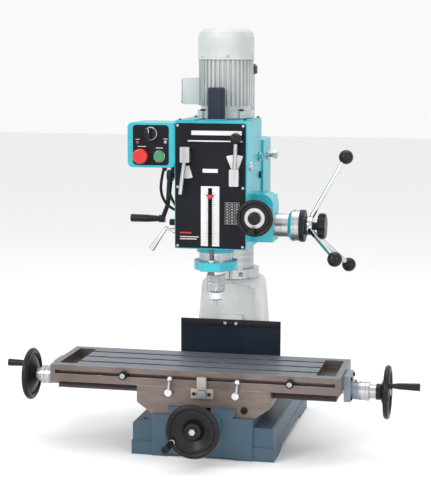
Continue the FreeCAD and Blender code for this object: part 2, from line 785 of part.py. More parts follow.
def make_cross_screw():
    """The cross screw with its dial, its handwheel and the grip."""
    front = -S.base_long / 2
    wheel = S.cross_wheel_y
    screw = join([
        rod("y", CROSS_SCREW, 10, front - 10, 24),
        rod("y", CROSS_SCREW, S.screw_rad, front - 18, front + 6),
        rod("y", CROSS_SCREW, 26, front - 46, front - 16.2),
        rod("y", CROSS_SCREW, 18, wheel + 20, front - 46),
        rod("y", CROSS_SCREW, 9, wheel - 1, wheel + 22),
    ])
    node("cross_screw", screw)
    node("cross_handwheel",
         handwheel("y", CROSS_SCREW, wheel, wheel, wheel + 20, CROSS_PIN, wheel - GRIP_END + 3))
    node("grip_front", grip("y", CROSS_PIN, wheel - GRIP_END, wheel - 12.2, "low"))


# ---------------------------------------------------------------- head lift
def make_rack():
    """The lift rack, which stands beside the column and turns round it with the head."""
    low = S.collar_top.value + 1
    high = S.column_top.value - 1
    face = S.lift_x.value + S.gear_module.value * S.lift_teeth.value / 2
    # depth is measured leftwards from the column's side, so the strip is turned about
    strip = rack(20, 0, -face - 57.7, high - low, S.lift_z.value - low)
    strip.Placement = FreeCAD.Placement(
        V(-57.7, S.column_y.value + 10, low), FreeCAD.Rotation(V(0, 0, 1), 180))
    node("rack", strip)


def make_column_sleeve():
    """The casting that clamps the column and carries the head on a round flange."""
    low = S.sleeve_low
    high = S.sleeve_top
    front = S.head_back + 1
    barrel = cut(rod("z", COLUMN, S.sleeve_rad, low, high),
                 [box((-120, 120), (0, front), (low - 1, high + 1))])
    shell = join([
        barrel,
        box((-105, 105), (front, S.column_y), (low, high)),
        rod("y", (0, S.tilt_z), 92, S.head_back + 0.2, 60),
        rod("y", (0, S.tilt_z), 24, S.head_back - S.head_wall, 60),
        rod("x", (S.crank_y, S.crank_z), 22, -122, -90),
        box((-24, 24), (S.column_y + 90, S.column_y + 122), (low + 20, high - 20)),
    ])
    gear_room = S.column_y
    hollow = [
        rod("z", COLUMN, S.column_rad + S.slide_gap, low, high),
        box((-72, -50), (S.column_y - 10.2, S.column_y + 10.2), (low, high)),
        rod("y", (S.lift_x, S.lift_z), 17, gear_room - 13, gear_room + 13),
        rod("y", (S.lift_x, S.lift_z), 7 + S.run_gap, 62, gear_room + 20),
        rod("y", (S.lift_x, S.lift_z), 22, S.crank_y - 8, S.crank_y + 8),
        rod("x", (S.crank_y, S.crank_z), 10, -102, -58),
        rod("x", (S.crank_y, S.crank_z), 8 + S.run_gap, -124, -100),
        box((-2, 2), (S.column_y + 50, S.column_y + 124), (low, high)),
    ]
    node("column_sleeve", cut(shell, hollow))
    bolts = []
    for z in (S.tilt_z + 76, S.tilt_z - 44):
        hex_head = DOC.addObject("Part::Prism", "HexHead")
        hex_head.Polygon = 6
        hex_head.Circumradius = 12
        hex_head.Height = 12
        hex_head.Placement = FreeCAD.Placement(V(), TURNS["x"])
        put(hex_head, 122, 84, z)
        washer = rod("x", (84, z), 15, 105, 109)
        shank = rod("x", (84, z), 8, 108, 123)
        bolts.append(join([washer, shank, hex_head]))
    node("sleeve_bolts", group(bolts))


def make_crank():
    """The lift crank with its worm, the spinning grip, and the wheel-and-pinion shaft."""
    y, z = S.crank_y, S.crank_z
    end = z - S.crank_reach
    elbow = (-190, y, end + 42)
    arm = join([
        taper((-182, y, z), elbow, 9, 6.5),
        ball(*elbow, 6.5),
        taper(elbow, (-206, y, end), 6.5, 7),
        rod("x", (y, z), 16, -190, -172),
    ])
    shaft = join([
        rod("x", (y, z), 8, -174, -60),
        rod("x", (y, z), 8.7, -100, -64),
    ])
    pin = rod("x", (y, end), 5, -294, -199)
    seat = rod("x", (y, end), 11, -216, -199)
    node("elevation_crank", join([arm, shaft, pin, seat]))
    body = join([
        cone("x", (y, end), 11.5, 11, -301, -250), cone("x", (y, end), 11, 8.5, -250, -216.2),
    ])
    node("crank_grip", cut(body, [rod("x", (y, end), 5 + S.run_gap, -302, -216)]))
    mesh = gear(S.lift_teeth, "y", (S.lift_x, S.lift_z), S.column_y - 12, S.column_y + 12, 0)
    node("elevation_gear", join([
        rod("y", (S.lift_x, S.lift_z), 7, y - 3, S.column_y + 18),
        rod("y", (S.lift_x, S.lift_z), 20, y - 6, y + 6),
        mesh,
    ]))


# ---------------------------------------------------------------- head
def counter_shaft():
    """Where the counter shaft stands: each gear pair's centre distance fixes it."""
    module = S.gear_module.value
    first = module * (S.motor_teeth.value + S.counter_teeth.value) / 2
    second = module * (S.small_teeth.value + S.drive_teeth.value) / 2
    motor = V(S.motor_x.value, S.motor_y.value, 0)
    spindle = V(0, S.spindle_y.value, 0)
    line = spindle - motor
    span = line.Length
    reach = (first**2 - second**2 + span**2) / (2 * span)
    aside = math.sqrt(first**2 - reach**2)
    unit = line.normalize()
    return motor + unit * reach + V(-unit.y, unit.x, 0) * aside


COUNTER = counter_shaft()


def bearing(start, end):
    """The angle of the line from start to end in the XY plane, in degrees."""
    return math.degrees(math.atan2(end.y - start.y, end.x - start.x))


def make_head():
    """The head casting: a gearbox shell with the quill bore and the feed box."""
    half = S.head_half
    wall = S.head_wall
    low, top = S.head_low, S.head_top
    front, back = S.head_front, S.head_back
    shell = rounded(box((-half, half), (front, back), (low, top)), 5, lambda e: is_parallel(e, "z"))
    feed_box = rounded(
        box((half - 2, 157), (-116, -20), (568, 700)), 30,
        lambda e: is_parallel(e, "y") and e.CenterOfMass.x > 150 and e.CenterOfMass.z > 600)
    outside = join([
        shell, feed_box,
        rod("z", SPINDLE, 52.5, 541, low + 1),
        rod("z", SPINDLE, 30, top - 1, 906),
        rod("y", (S.fine_x, S.fine_z), 15, -226, -100),
        rod("x", (S.spindle_y, 595), 14, -112, -half + 1),
        rod("x", (-22, 797), 13, half - 1, 103),
        rod("x", (-22, 797), 8, half, 110),
    ])
    inner = half - wall
    cavity = cut(
        box((-inner, inner), (front - 1, back - wall), (low + wall, top - wall)),
        [
            rod("z", SPINDLE, 56, low, 702),
            box((-inner, inner), (front - 1, back - wall), (S.web_low, S.web_top)),
        ],
    )
    shaft_x, shaft_y = COUNTER.x, COUNTER.y
    holes = [
        cavity,
        rod("z", SPINDLE, S.quill_rad + S.run_gap, 530, 770),
        rod("z", SPINDLE, 16, 768, 784),
        rod("z", SPINDLE, 22 + S.run_gap, top - wall - 1, 908),
        rod("z", (0, S.rod_y), 5.3, 550, 760),
        rod("z", MOTOR, 14, top - wall - 1, top + 1),
        rod("z", (shaft_x, shaft_y), 8 + S.run_gap, S.web_low, 900),
        rod("x", FEED, 18, -60, 60),
        rod("x", FEED, 11 + S.run_gap, -102, 160),
        rod("x", FEED, 34, 112, 150),
        rod("y", (S.fine_x, S.fine_z), 6 + S.run_gap, -228, -42),
        rod("y", (S.fine_x, S.fine_z), 10.5, -92, -48),
        rod("x", (S.spindle_y, 595), 6 + S.run_gap, -114, -50),
        rod("y", (0, S.tilt_z), 24 + S.run_gap, back - wall - 1, back + 1),
    ]
    node("head_casting", cut(outside, holes))


def make_front_plate():
    """The black instrument plate that closes the head's front."""
    front = S.head_front
    plate = Casting("front_plate")
    plate.pad("XZ_Plane", rectangle(97, 169, 0, 728), front - 2.5, front)
    plate.pocket("XZ_Plane", rectangle(5.7, 77.5, 0, 645.5), front - 2.5, front)
    plate.bore("XZ_Plane", [(-67, 812), (68, 750)], 6 + S.run_gap, front - 2.5, front)
    plate.fillet(5, lambda e: is_parallel(e, "y") and abs(e.CenterOfMass.x) > 90)
    lips = [box(x, (front - 0.5, front + 1.5), (568.2, 730)) for x in ((-12, -2), (2, 12))]
    node("front_plate", join([plate.body] + lips))


def make_selector(label, x, z, low, high, tip_x, tip_z, knob):
    """A gear selector: a block on a shaft, with a lever rod and perhaps a knob."""
    front = S.head_front - 2.5
    block = rounded(box((x - 13, x + 13), (front - 18, front - 0.2), (low, high)), 3,
                    lambda e: is_parallel(e, "y"))
    shaft = rod("y", (x, z), 6, front - 2, front + 50)
    parts = [block, shaft, bar((x, front - 11, z), (tip_x, front - 17, tip_z), 5.5)]
    if knob:
        parts.append(ball(tip_x, front - 17, tip_z, 15))
    node(label, join(parts))


def make_motor():
    """The motor: finned housing with a terminal box, fan cover, rotor and pinion."""
    low = S.motor_low
    housing = Casting("motor_housing")
    housing.round_pad("XY_Plane", [(0, 0)], 70, low, S.fan_low)
    housing.round_pad("XY_Plane", [(0, 0)], 80, low, low + 20)
    fin = housing.pad("XY_Plane", [(68, -1.5), (76.5, -1.5), (76.5, 1.5), (68, 1.5)],
                      low + 34, S.fan_low)
    housing.polar([fin], 36)
    ear = housing.pad("XY_Plane", [(60, -11), (86, -11), (86, 11), (60, 11)], low, low + 20)
    housing.polar([ear], 4)
    housing.bore("XY_Plane", [(0, 0)], 59, low + 12, S.fan_low)
    housing.bore("XY_Plane", [(0, 0)], 12, low, low + 12)
    housing.body.Placement = FreeCAD.Placement(V(), FreeCAD.Rotation(V(0, 0, 1), 45))
    put(housing.body, S.motor_x, S.motor_y, 0)
    terminal = rounded(
        box((-114, -64), (S.motor_y - 36, S.motor_y + 36), (942, 1015)), 6,
        lambda e: e.CenterOfMass.x < -100)
    clearing = rod("z", MOTOR, 65, 930, 1030)
    node("motor_housing", join([housing.body, cut(terminal, [clearing])]))

    cover = Casting("fan_cover")
    rad = S.motor_rad
    top = S.motor_top
    cover.revolve([
        (rad, S.fan_low), (rad, top - 24), (rad - 4, top - 10), (rad - 14, top - 2), (rad - 24, top),
        (0, top), (0, top - 3), (rad - 25, top - 3), (rad - 15, top - 5), (rad - 7, top - 12),
        (rad - 3, top - 25), (rad - 3, S.fan_low),
    ])
    slot = cover.pocket("XY_Plane", [(16, -2.5), (46, -2.5), (46, 2.5), (16, 2.5)], top - 5, top)
    cover.polar([slot], 14)
    put(cover.body, S.motor_x, S.motor_y, 0)
    node("fan_cover", cover.body)

    motor = V(S.motor_x.value, S.motor_y.value, 0)
    rotor = [
        rod("z", MOTOR, 10, 856, 1110),
        rod("z", MOTOR, 50, 935, 1048),
        gear(S.motor_teeth, "z", MOTOR, 858, 880, bearing(motor, COUNTER)),
        rod("z", MOTOR, 18, 1082, 1106),
        rod("z", MOTOR, 62, 1082, 1086),
    ]
    for k in range(8):
        blade = box((S.motor_x + 16, S.motor_x + 62), (S.motor_y - 1.5, S.motor_y + 1.5), (1085, 1106))
        rotor.append(spun(blade, MOTOR, 45 * k))
    node("motor_rotor", join(rotor))


def spun(shape_object, at, degrees):
    """Turns a box about a vertical line by giving it a turned position."""
    DOC.recompute()
    centre = V(number(at[0]), number(at[1]), 0)
    old = shape_object.Placement
    turn = FreeCAD.Placement(V(), FreeCAD.Rotation(V(0, 0, 1), degrees), centre)
    for letter in "xyz":
        shape_object.setExpression(f"Placement.Base.{letter}", None)
    shape_object.Placement = turn.multiply(old)
    return shape_object


def make_gear_train():
    """The counter shaft and the drive sleeve that turns the spindle."""
    motor = V(S.motor_x.value, S.motor_y.value, 0)
    spindle = V(0, S.spindle_y.value, 0)
    at = (COUNTER.x, COUNTER.y)
    gap_to_motor = bearing(COUNTER, motor) + 180 / S.counter_teeth.value
    node("counter_gears", join([
        rod("z", at, 8, 772, 898),
        gear(S.counter_teeth, "z", at, 861, 877, gap_to_motor),
        gear(S.small_teeth, "z", at, 798, 822, bearing(COUNTER, spindle)),
    ]))
    gap_to_counter = bearing(spindle, COUNTER) + 180 / S.drive_teeth.value
    sleeve = join([
        rod("z", SPINDLE, 22, 784, 902),
        gear(S.drive_teeth, "z", SPINDLE, 801, 819, gap_to_counter),
    ])
    node("drive_sleeve", cut(sleeve, [rod("z", SPINDLE, 15 + S.run_gap, 780, 904)]))


def make_drawbar_cap():
    """The tube that covers the drawbar above the head."""
    cap = Casting("drawbar_cap")
    cap.revolve([(20, 906), (24, 906), (24, 987), (21, 991), (0, 991), (0, 986), (20, 986)])
    put(cap.body, 0, S.spindle_y, 0)
    node("drawbar_cap", cap.body)


def make_spring_cover():
    """The can over the quill's return spring, with a small end cap."""
    side = -S.head_half
    can = cut(rod("x", FEED, 36, side - 20, side), [rod("x", FEED, 31, side - 17, side)])
    node("spring_cover", join([can, rod("x", FEED, 8.5, side - 43, side - 18)]))


def make_control_box():
    """The switch box on the head's left side and its three operating pieces."""
    box_back = -78
    front = -198
    shell = rounded(box((-232, -S.head_half), (front, box_back), (775, 897)), 14,
                    lambda e: is_parallel(e, "y"))
    inside = box((-228, -104), (front + 4, box_back - 4), (779, 893))
    openings = [
        rod("y", (-192, 806.5), 11 + S.run_gap, front - 1, front + 6),
        rod("y", (-142, 806), 11 + S.run_gap, front - 1, front + 6),
        rod("y", (-167, 867), 8 + S.run_gap, front - 1, front + 6),
    ]
    node("control_box", cut(shell, [inside] + openings))
    node("estop_button", join([
        rod("y", (-192, 806.5), 11, front - 8, front + 22),
        rounded(rod("y", (-192, 806.5), 20.5, front - 26, front - 6), 5,
                lambda e: e.CenterOfMass.y < front - 20 and e.Length > 50),
    ]))
    node("start_button", join([
        rod("y", (-142, 806), 11, front - 6, front + 18),
        rod("y", (-142, 806), 14, front - 10, front - 5),
    ]))
    node("speed_switch", join([
        rod("y", (-167, 867), 8, front - 6, front + 22),
        rod("y", (-167, 867), 16, front - 12, front - 0.5),
        box((-171, -163), (front - 24, front - 11), (852, 882)),
    ]))


CABLE_RAD = 4


def rounded_tube(points, radius):
    """A cable through points: straight runs joined by tangent arcs as large as they fit."""
    corners = [V(*p) for p in points]
    edges = []
    start = corners[0]
    for before, corner, after in zip(corners, corners[1:], corners[2:]):
        arrive = (corner - before).normalize()
        leave = (after - corner).normalize()
        half_turn = arrive.getAngle(leave) / 2
        shorter = min((corner - before).Length, (after - corner).Length)
        bend = 0.45 * shorter / math.tan(half_turn)
        back_off = bend * math.tan(half_turn)
        first = corner - arrive * back_off
        last = corner + leave * back_off
        middle_way = (leave - arrive).normalize()
        centre = corner + middle_way * (bend / math.cos(half_turn))
        middle = centre - middle_way * bend
        print(f"cable bend radius {bend:.0f} mm")
        edges.append(Part.makeLine(start, first))
        edges.append(Part.Arc(first, middle, last).toShape())
        start = last
    edges.append(Part.makeLine(start, corners[-1]))
    path = Part.Wire(edges)
    length = path.Length
    ring = Part.Wire(Part.makeCircle(radius, corners[0], (corners[1] - corners[0]).normalize()))
    solid = path.makePipeShell([ring], True, False)
    print(f"cable {length:.0f} mm, volume ratio {solid.Volume / (math.pi * radius**2 * length):.4f}")
    return solid


CABLE_ROUTES = (
    ((-146, -128, 773.6), (-158, -127, 730), (-156, -124, 688), (-133, -120, 655), (-101.5, -118, 646)),
    ((-121, -128, 773.6), (-131, -128, 740), (-134, -126, 704), (-122, -123, 671), (-103.4, -120, 650)),
)


def make_cables():
    """The two short cables that loop from the switch box into the head's side."""
    loops = []
    for route in CABLE_ROUTES:
        loop = DOC.addObject("Part::Feature", "Cable")
        loop.Shape = rounded_tube(route, CABLE_RAD)
        loops.append(loop)
    node("motor_cables", group(loops))


# ---------------------------------------------------------------- quill and spindle
def make_quill():
    """The quill with its rack, the bracket clamped round it and the depth rod."""
    y = S.spindle_y
    rack_low = 598
    pitch_line = S.feed_y.value - S.gear_module.value * S.feed_teeth.value / 2
    root = pitch_line - ROOT * S.gear_module.value
    back = pitch_line - 5
    strip = rack(20, 0, pitch_line - back, S.quill_top.value - rack_low, S.feed_z.value - rack_low)
    # depth runs towards +Y and the width towards -X
    strip.Placement = FreeCAD.Placement(V(10, back, rack_low), FreeCAD.Rotation(V(0, 0, 1), 90))
    tube = cut(
        rod("z", SPINDLE, S.quill_rad, S.quill_low, S.quill_top),
        [
            rod("z", SPINDLE, S.spindle_rad + S.run_gap, S.quill_low, S.quill_top),
            box((-10.2, 10.2), (root, y + S.quill_rad + 1), (rack_low, S.quill_top)),
        ],
    )
    node("quill", join([tube, strip]))
    bracket = Casting("quill_bracket")
    bracket.round_pad("XY_Plane", [SPINDLE], 60, 493, 517)
    bracket.pad("XY_Plane", [(-28, -198), (28, -198), (60, y), (-60, y)], 493, 517)
    bracket.bore("XY_Plane", [SPINDLE], S.quill_rad, 493, 517)
    bracket.bore("XY_Plane", [(0, S.rod_y)], 5, 493, 517)
    node("quill_bracket", bracket.body)
    front = S.head_front
    node("depth_rod", join([
        rod("z", (0, S.rod_y), 5, 486, 712),
        rod("z", (0, S.rod_y), 9, 484, 493),
        box((-1.5, 1.5), (front - 5, S.rod_y), (701, 705)),
        box((-9, 9), (front - 6, front - 2.8), (700.5, 705.5)),
    ]))


def make_spindle():
    """The spindle with its drawbar and the taper that carries the chuck."""
    node("spindle", join([
        rod("z", SPINDLE, S.spindle_rad, S.chuck_top, 768),
        rod("z", SPINDLE, 15, 767, 936),
        rod("z", SPINDLE, 6, 935, 952),
        cone("z", SPINDLE, 8, 10, S.chuck_top - 21, S.chuck_top),
        rod("z", SPINDLE, 10, S.chuck_top - 0.5, S.chuck_top + 1),
    ]))


def jaw_blank(radius, low, high):
    """A round bar along a jaw's leaning line, in the XZ plane through the spindle."""
    lean = math.radians(S.jaw_lean.value)
    meet = S.jaw_tip.value - 4
    y = S.spindle_y
    reach = math.tan(lean)
    return bar(((low - meet) * reach, y, low), ((high - meet) * reach, y, high), radius)


def make_chuck():
    """The drill chuck: body, turning sleeve and three leaning jaws."""
    body = Casting("drill_chuck")
    top = S.chuck_top
    body.revolve([
        (0, 405), (15.5, 405), (18.5, 408), (18.5, 427), (21.5, 429), (21.5, 479), (24, 479), (24, top - 2),
        (22, top), (10, top), (8, top - 21), (0, top - 21),
    ])
    put(body.body, 0, S.spindle_y, 0)
    bores = [spun(jaw_blank(4.15, 396, 464), SPINDLE, 120 * k) for k in range(3)]
    node("drill_chuck", cut(body.body, bores + [rod("z", SPINDLE, 7, 404, 456)]))
    sleeve = Casting("chuck_sleeve")
    sleeve.revolve([
        (21.5 + S.slide_gap, 429.5), (24, 429.5), (26, 432), (26, 447), (25, 448), (25, 458), (26, 459),
        (26, 476), (25, 477), (21.5 + S.slide_gap, 477),
    ])
    put(sleeve.body, 0, S.spindle_y, 0)
    node("chuck_sleeve", sleeve.body)
    for k in range(3):
        wedge = Casting(f"jaw_wedge_{k + 1}")
        y = S.spindle_y
        wedge.pad("XY_Plane", [(0.3, y), (25, y - 42), (25, y + 42)], S.jaw_tip, 500)
        blank = jaw_blank(4, 380, 430)
        node(f"chuck_jaw_{k + 1}", spun(fixed(common(blank, wedge.body)), SPINDLE, 120 * k))


def fixed(shape_object):
    """Recomputes, so that the shape can be placed."""
    DOC.recompute()
    return shape_object


# ---------------------------------------------------------------- quill feed
def make_feed():
    """The feed shaft with its pinion and hub, three ball levers and the star knob."""
    towards_quill = 180
    shaft = join([
        rod("x", FEED, 11, -108, 240),
        gear(S.feed_teeth, "x", FEED, -9.8, 9.8, towards_quill),
        rod("x", FEED, 33, 157.2, 205),
        rod("x", FEED, 43, 205, 227),
        rod("x", FEED, 44, 227, 240),
        rod("x", FEED, 26, 240, 262),
    ])
    levers = []
    balls = []
    for k in range(3):
        angle = math.radians(S.lever_turn.value + 120 * k)
        aside, up = math.sin(angle), math.cos(angle)
        root = (251, S.feed_y + 14 * aside, S.feed_z + 14 * up)
        tip = (S.lever_x, S.feed_y + S.lever_reach * aside, S.feed_z + S.lever_reach * up)
        levers.append(bar(root, tip, 6.5))
        balls.append(ball(*tip, 20))
    lever_set = cut(join(levers + [rod("x", FEED, 20, 244, 258)]), [shaft])
    node("feed_shaft", shaft)
    node("feed_levers", lever_set)
    node("lever_balls", cut(group(balls), [lever_set]))
    knob = Casting("star_knob")
    knob.revolve([(0, 262.2), (11, 262.2), (11, 276), (30, 276), (36.5, 280), (36.5, 294), (32, 298), (0, 298)])
    scallop = knob.bore("XY_Plane", [(42, 0)], 13, 276, 298)
    knob.polar([scallop], 5)
    knob.body.Placement = FreeCAD.Placement(V(), TURNS["x"])
    put(knob.body, 0, S.feed_y, S.feed_z)
    node("star_knob", knob.body)


def make_fine_wheel():
    """The fine feed handwheel on the worm shaft in front of the feed box."""
    at = (S.fine_x, S.fine_z)
    knob = (S.fine_x - 5, S.fine_z - 33)
    parts = [
        rod("y", at, 6, -230, -44),
        rod("y", at, 10, -88, -52),
        rod("y", at, 22, -240, -228),
        rod("y", at, 28, -253, -239),
        rod("y", at, 17, -262, -252),
        torus("y", at, 44, 6, -250),
        rod("y", at, 44, -248, -240),
        rod("y", knob, 4, -270, -246),
        cone("y", knob, 9, 6.5, -278, -264),
    ]
    node("fine_wheel", join(parts))


def make_quill_lock():
    """The bent lever that locks the quill, on a clamping screw in the head's side."""
    at = (S.spindle_y, 595)
    elbow = (-142, S.spindle_y, 601)
    node("quill_lock", join([
        rod("x", at, 6, -114, -62),
        rod("x", at, 9, -122, -112.3),
        bar((-118, S.spindle_y, 595), elbow, 5),
        ball(*elbow, 5.5),
        taper(elbow, (-184, S.spindle_y, 541), 4.5, 9),
    ]))


# ---------------------------------------------------------------- the whole machine
def build():
    make_base()
    make_pedestal()
    make_column()
    make_cross_bracket()
    make_way_cover()
    make_saddle()
    make_stop_bracket()
    make_feed_nuts()
    for side, x in zip(("left", "right"), LOCKS_X):
        make_table_lock(f"table_lock_{side}", x)
    make_table()
    make_table_stop("table_stop_left", -219.5)
    make_table_stop("table_stop_right", 237.7)
    make_end_brackets()
    make_long_screw()
    make_cross_screw()
    make_rack()
    make_column_sleeve()
    make_crank()
    make_head()
    make_front_plate()
    make_selector("selector_left", -67, 812, 792, 834, -79, 706, False)
    make_selector("selector_right", 68, 750, 730, 776, 73, 858, True)
    make_motor()
    make_gear_train()
    make_drawbar_cap()
    make_spring_cover()
    make_control_box()
    make_cables()
    make_quill()
    make_spindle()
    make_chuck()
    make_feed()
    make_fine_wheel()
    make_quill_lock()
    DOC.recompute()


def check():
    """Stops if any object failed or any sub-part is not a sound solid."""
    for obj in DOC.Objects:
        if "Invalid" in obj.State or "Error" in obj.State:
            raise RuntimeError(f"{obj.Name} ({obj.Label}) is {obj.State}")
    for part in NODES:
        if part.Shape.isNull() or not part.Shape.isValid() or not part.Shape.Solids:
            raise RuntimeError(f"{part.Label} has no valid solid")


def export():
    os.makedirs("parts", exist_ok=True)
    for part in NODES:
        part.Shape.exportStep(f"parts/{part.Label}.step")
    print(len(NODES), "nodes written")


build()
check()
export()
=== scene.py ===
"""The looks of a round-column benchtop milling machine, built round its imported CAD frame.

Lengths are in metres.  +X is to the operator's right, -Y is towards the operator and +Z is up.
"""
import logging
import math
from dataclasses import dataclass
from enum import Enum
from typing import Iterable, Optional, Sequence

import bmesh
import bpy
from mathutils import Matrix, Vector


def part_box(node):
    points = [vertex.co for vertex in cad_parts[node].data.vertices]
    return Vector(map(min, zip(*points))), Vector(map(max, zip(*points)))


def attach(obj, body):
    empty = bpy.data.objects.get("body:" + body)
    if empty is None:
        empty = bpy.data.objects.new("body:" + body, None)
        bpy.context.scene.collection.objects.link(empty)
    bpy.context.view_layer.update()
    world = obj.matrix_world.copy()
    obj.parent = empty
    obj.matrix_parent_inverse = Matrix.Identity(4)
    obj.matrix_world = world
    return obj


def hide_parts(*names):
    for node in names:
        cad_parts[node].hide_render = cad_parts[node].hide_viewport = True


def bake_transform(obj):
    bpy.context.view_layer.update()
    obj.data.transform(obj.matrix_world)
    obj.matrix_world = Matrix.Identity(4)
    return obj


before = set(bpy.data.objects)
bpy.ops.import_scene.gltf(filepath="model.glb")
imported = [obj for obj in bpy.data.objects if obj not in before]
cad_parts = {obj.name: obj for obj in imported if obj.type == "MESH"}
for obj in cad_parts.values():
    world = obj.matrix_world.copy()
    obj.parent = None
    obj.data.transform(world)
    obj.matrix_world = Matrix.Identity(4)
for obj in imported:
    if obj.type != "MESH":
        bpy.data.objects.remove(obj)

Point = tuple[float, float, float]
Colour = tuple[float, float, float]
Pair = tuple[float, float]
Socket = bpy.types.NodeSocket
Piece = bpy.types.Object

LOG = logging.getLogger("mill")
MM = 0.001


class Axis(Enum):
    """The line that a turned piece or a row of marks is set out round."""

    X = Vector((1, 0, 0))
    Y = Vector((0, 1, 0))
    Z = Vector((0, 0, 1))

    def turn(self) -> Matrix:
        """The rotation that carries +Z onto this axis."""
        return Vector((0, 0, 1)).rotation_difference(self.value).to_matrix().to_4x4()


class Surface(Enum):
    """How a finish's fine pattern is made."""

    PAINT = "paint"
    GROUND = "ground"
    TURNED = "turned"
    CAST = "cast"
    PLAIN = "plain"
    KNURLED = "knurled"
    FLAT = "flat"


@dataclass(frozen=True)
class Finish:
    """One surface finish, turned into a node material the first time it is used; a finish with side
    colours also paints shade on its floors and underside.
    """

    name: str
    slot: str
    colour: Colour
    metallic: float = 0.0
    roughness: float = 0.4
    coat: float = 0.0
    surface: Surface = Surface.PAINT
    worn: Optional[Colour] = None
    stretch: Point = (1.0, 1.0, 1.0)
    side_colour: Optional[Colour] = None
    shine: float = 0.5
    # Heights in the object's own space: up-facing floors below the first and every face below the second
    # get painted shade.
    top_level: float = 0.0
    painted_shade_below: float = 0.0

    def material(self) -> bpy.types.Material:
        """The finish's material, made once.

        Returns:
            The Blender material.
        """
        found = bpy.data.materials.get(self.name)
        if found is not None:
            return found
        made = bpy.data.materials.new(self.name)
        made.use_nodes = True
        MaterialMaker(made, self).build()
        return made


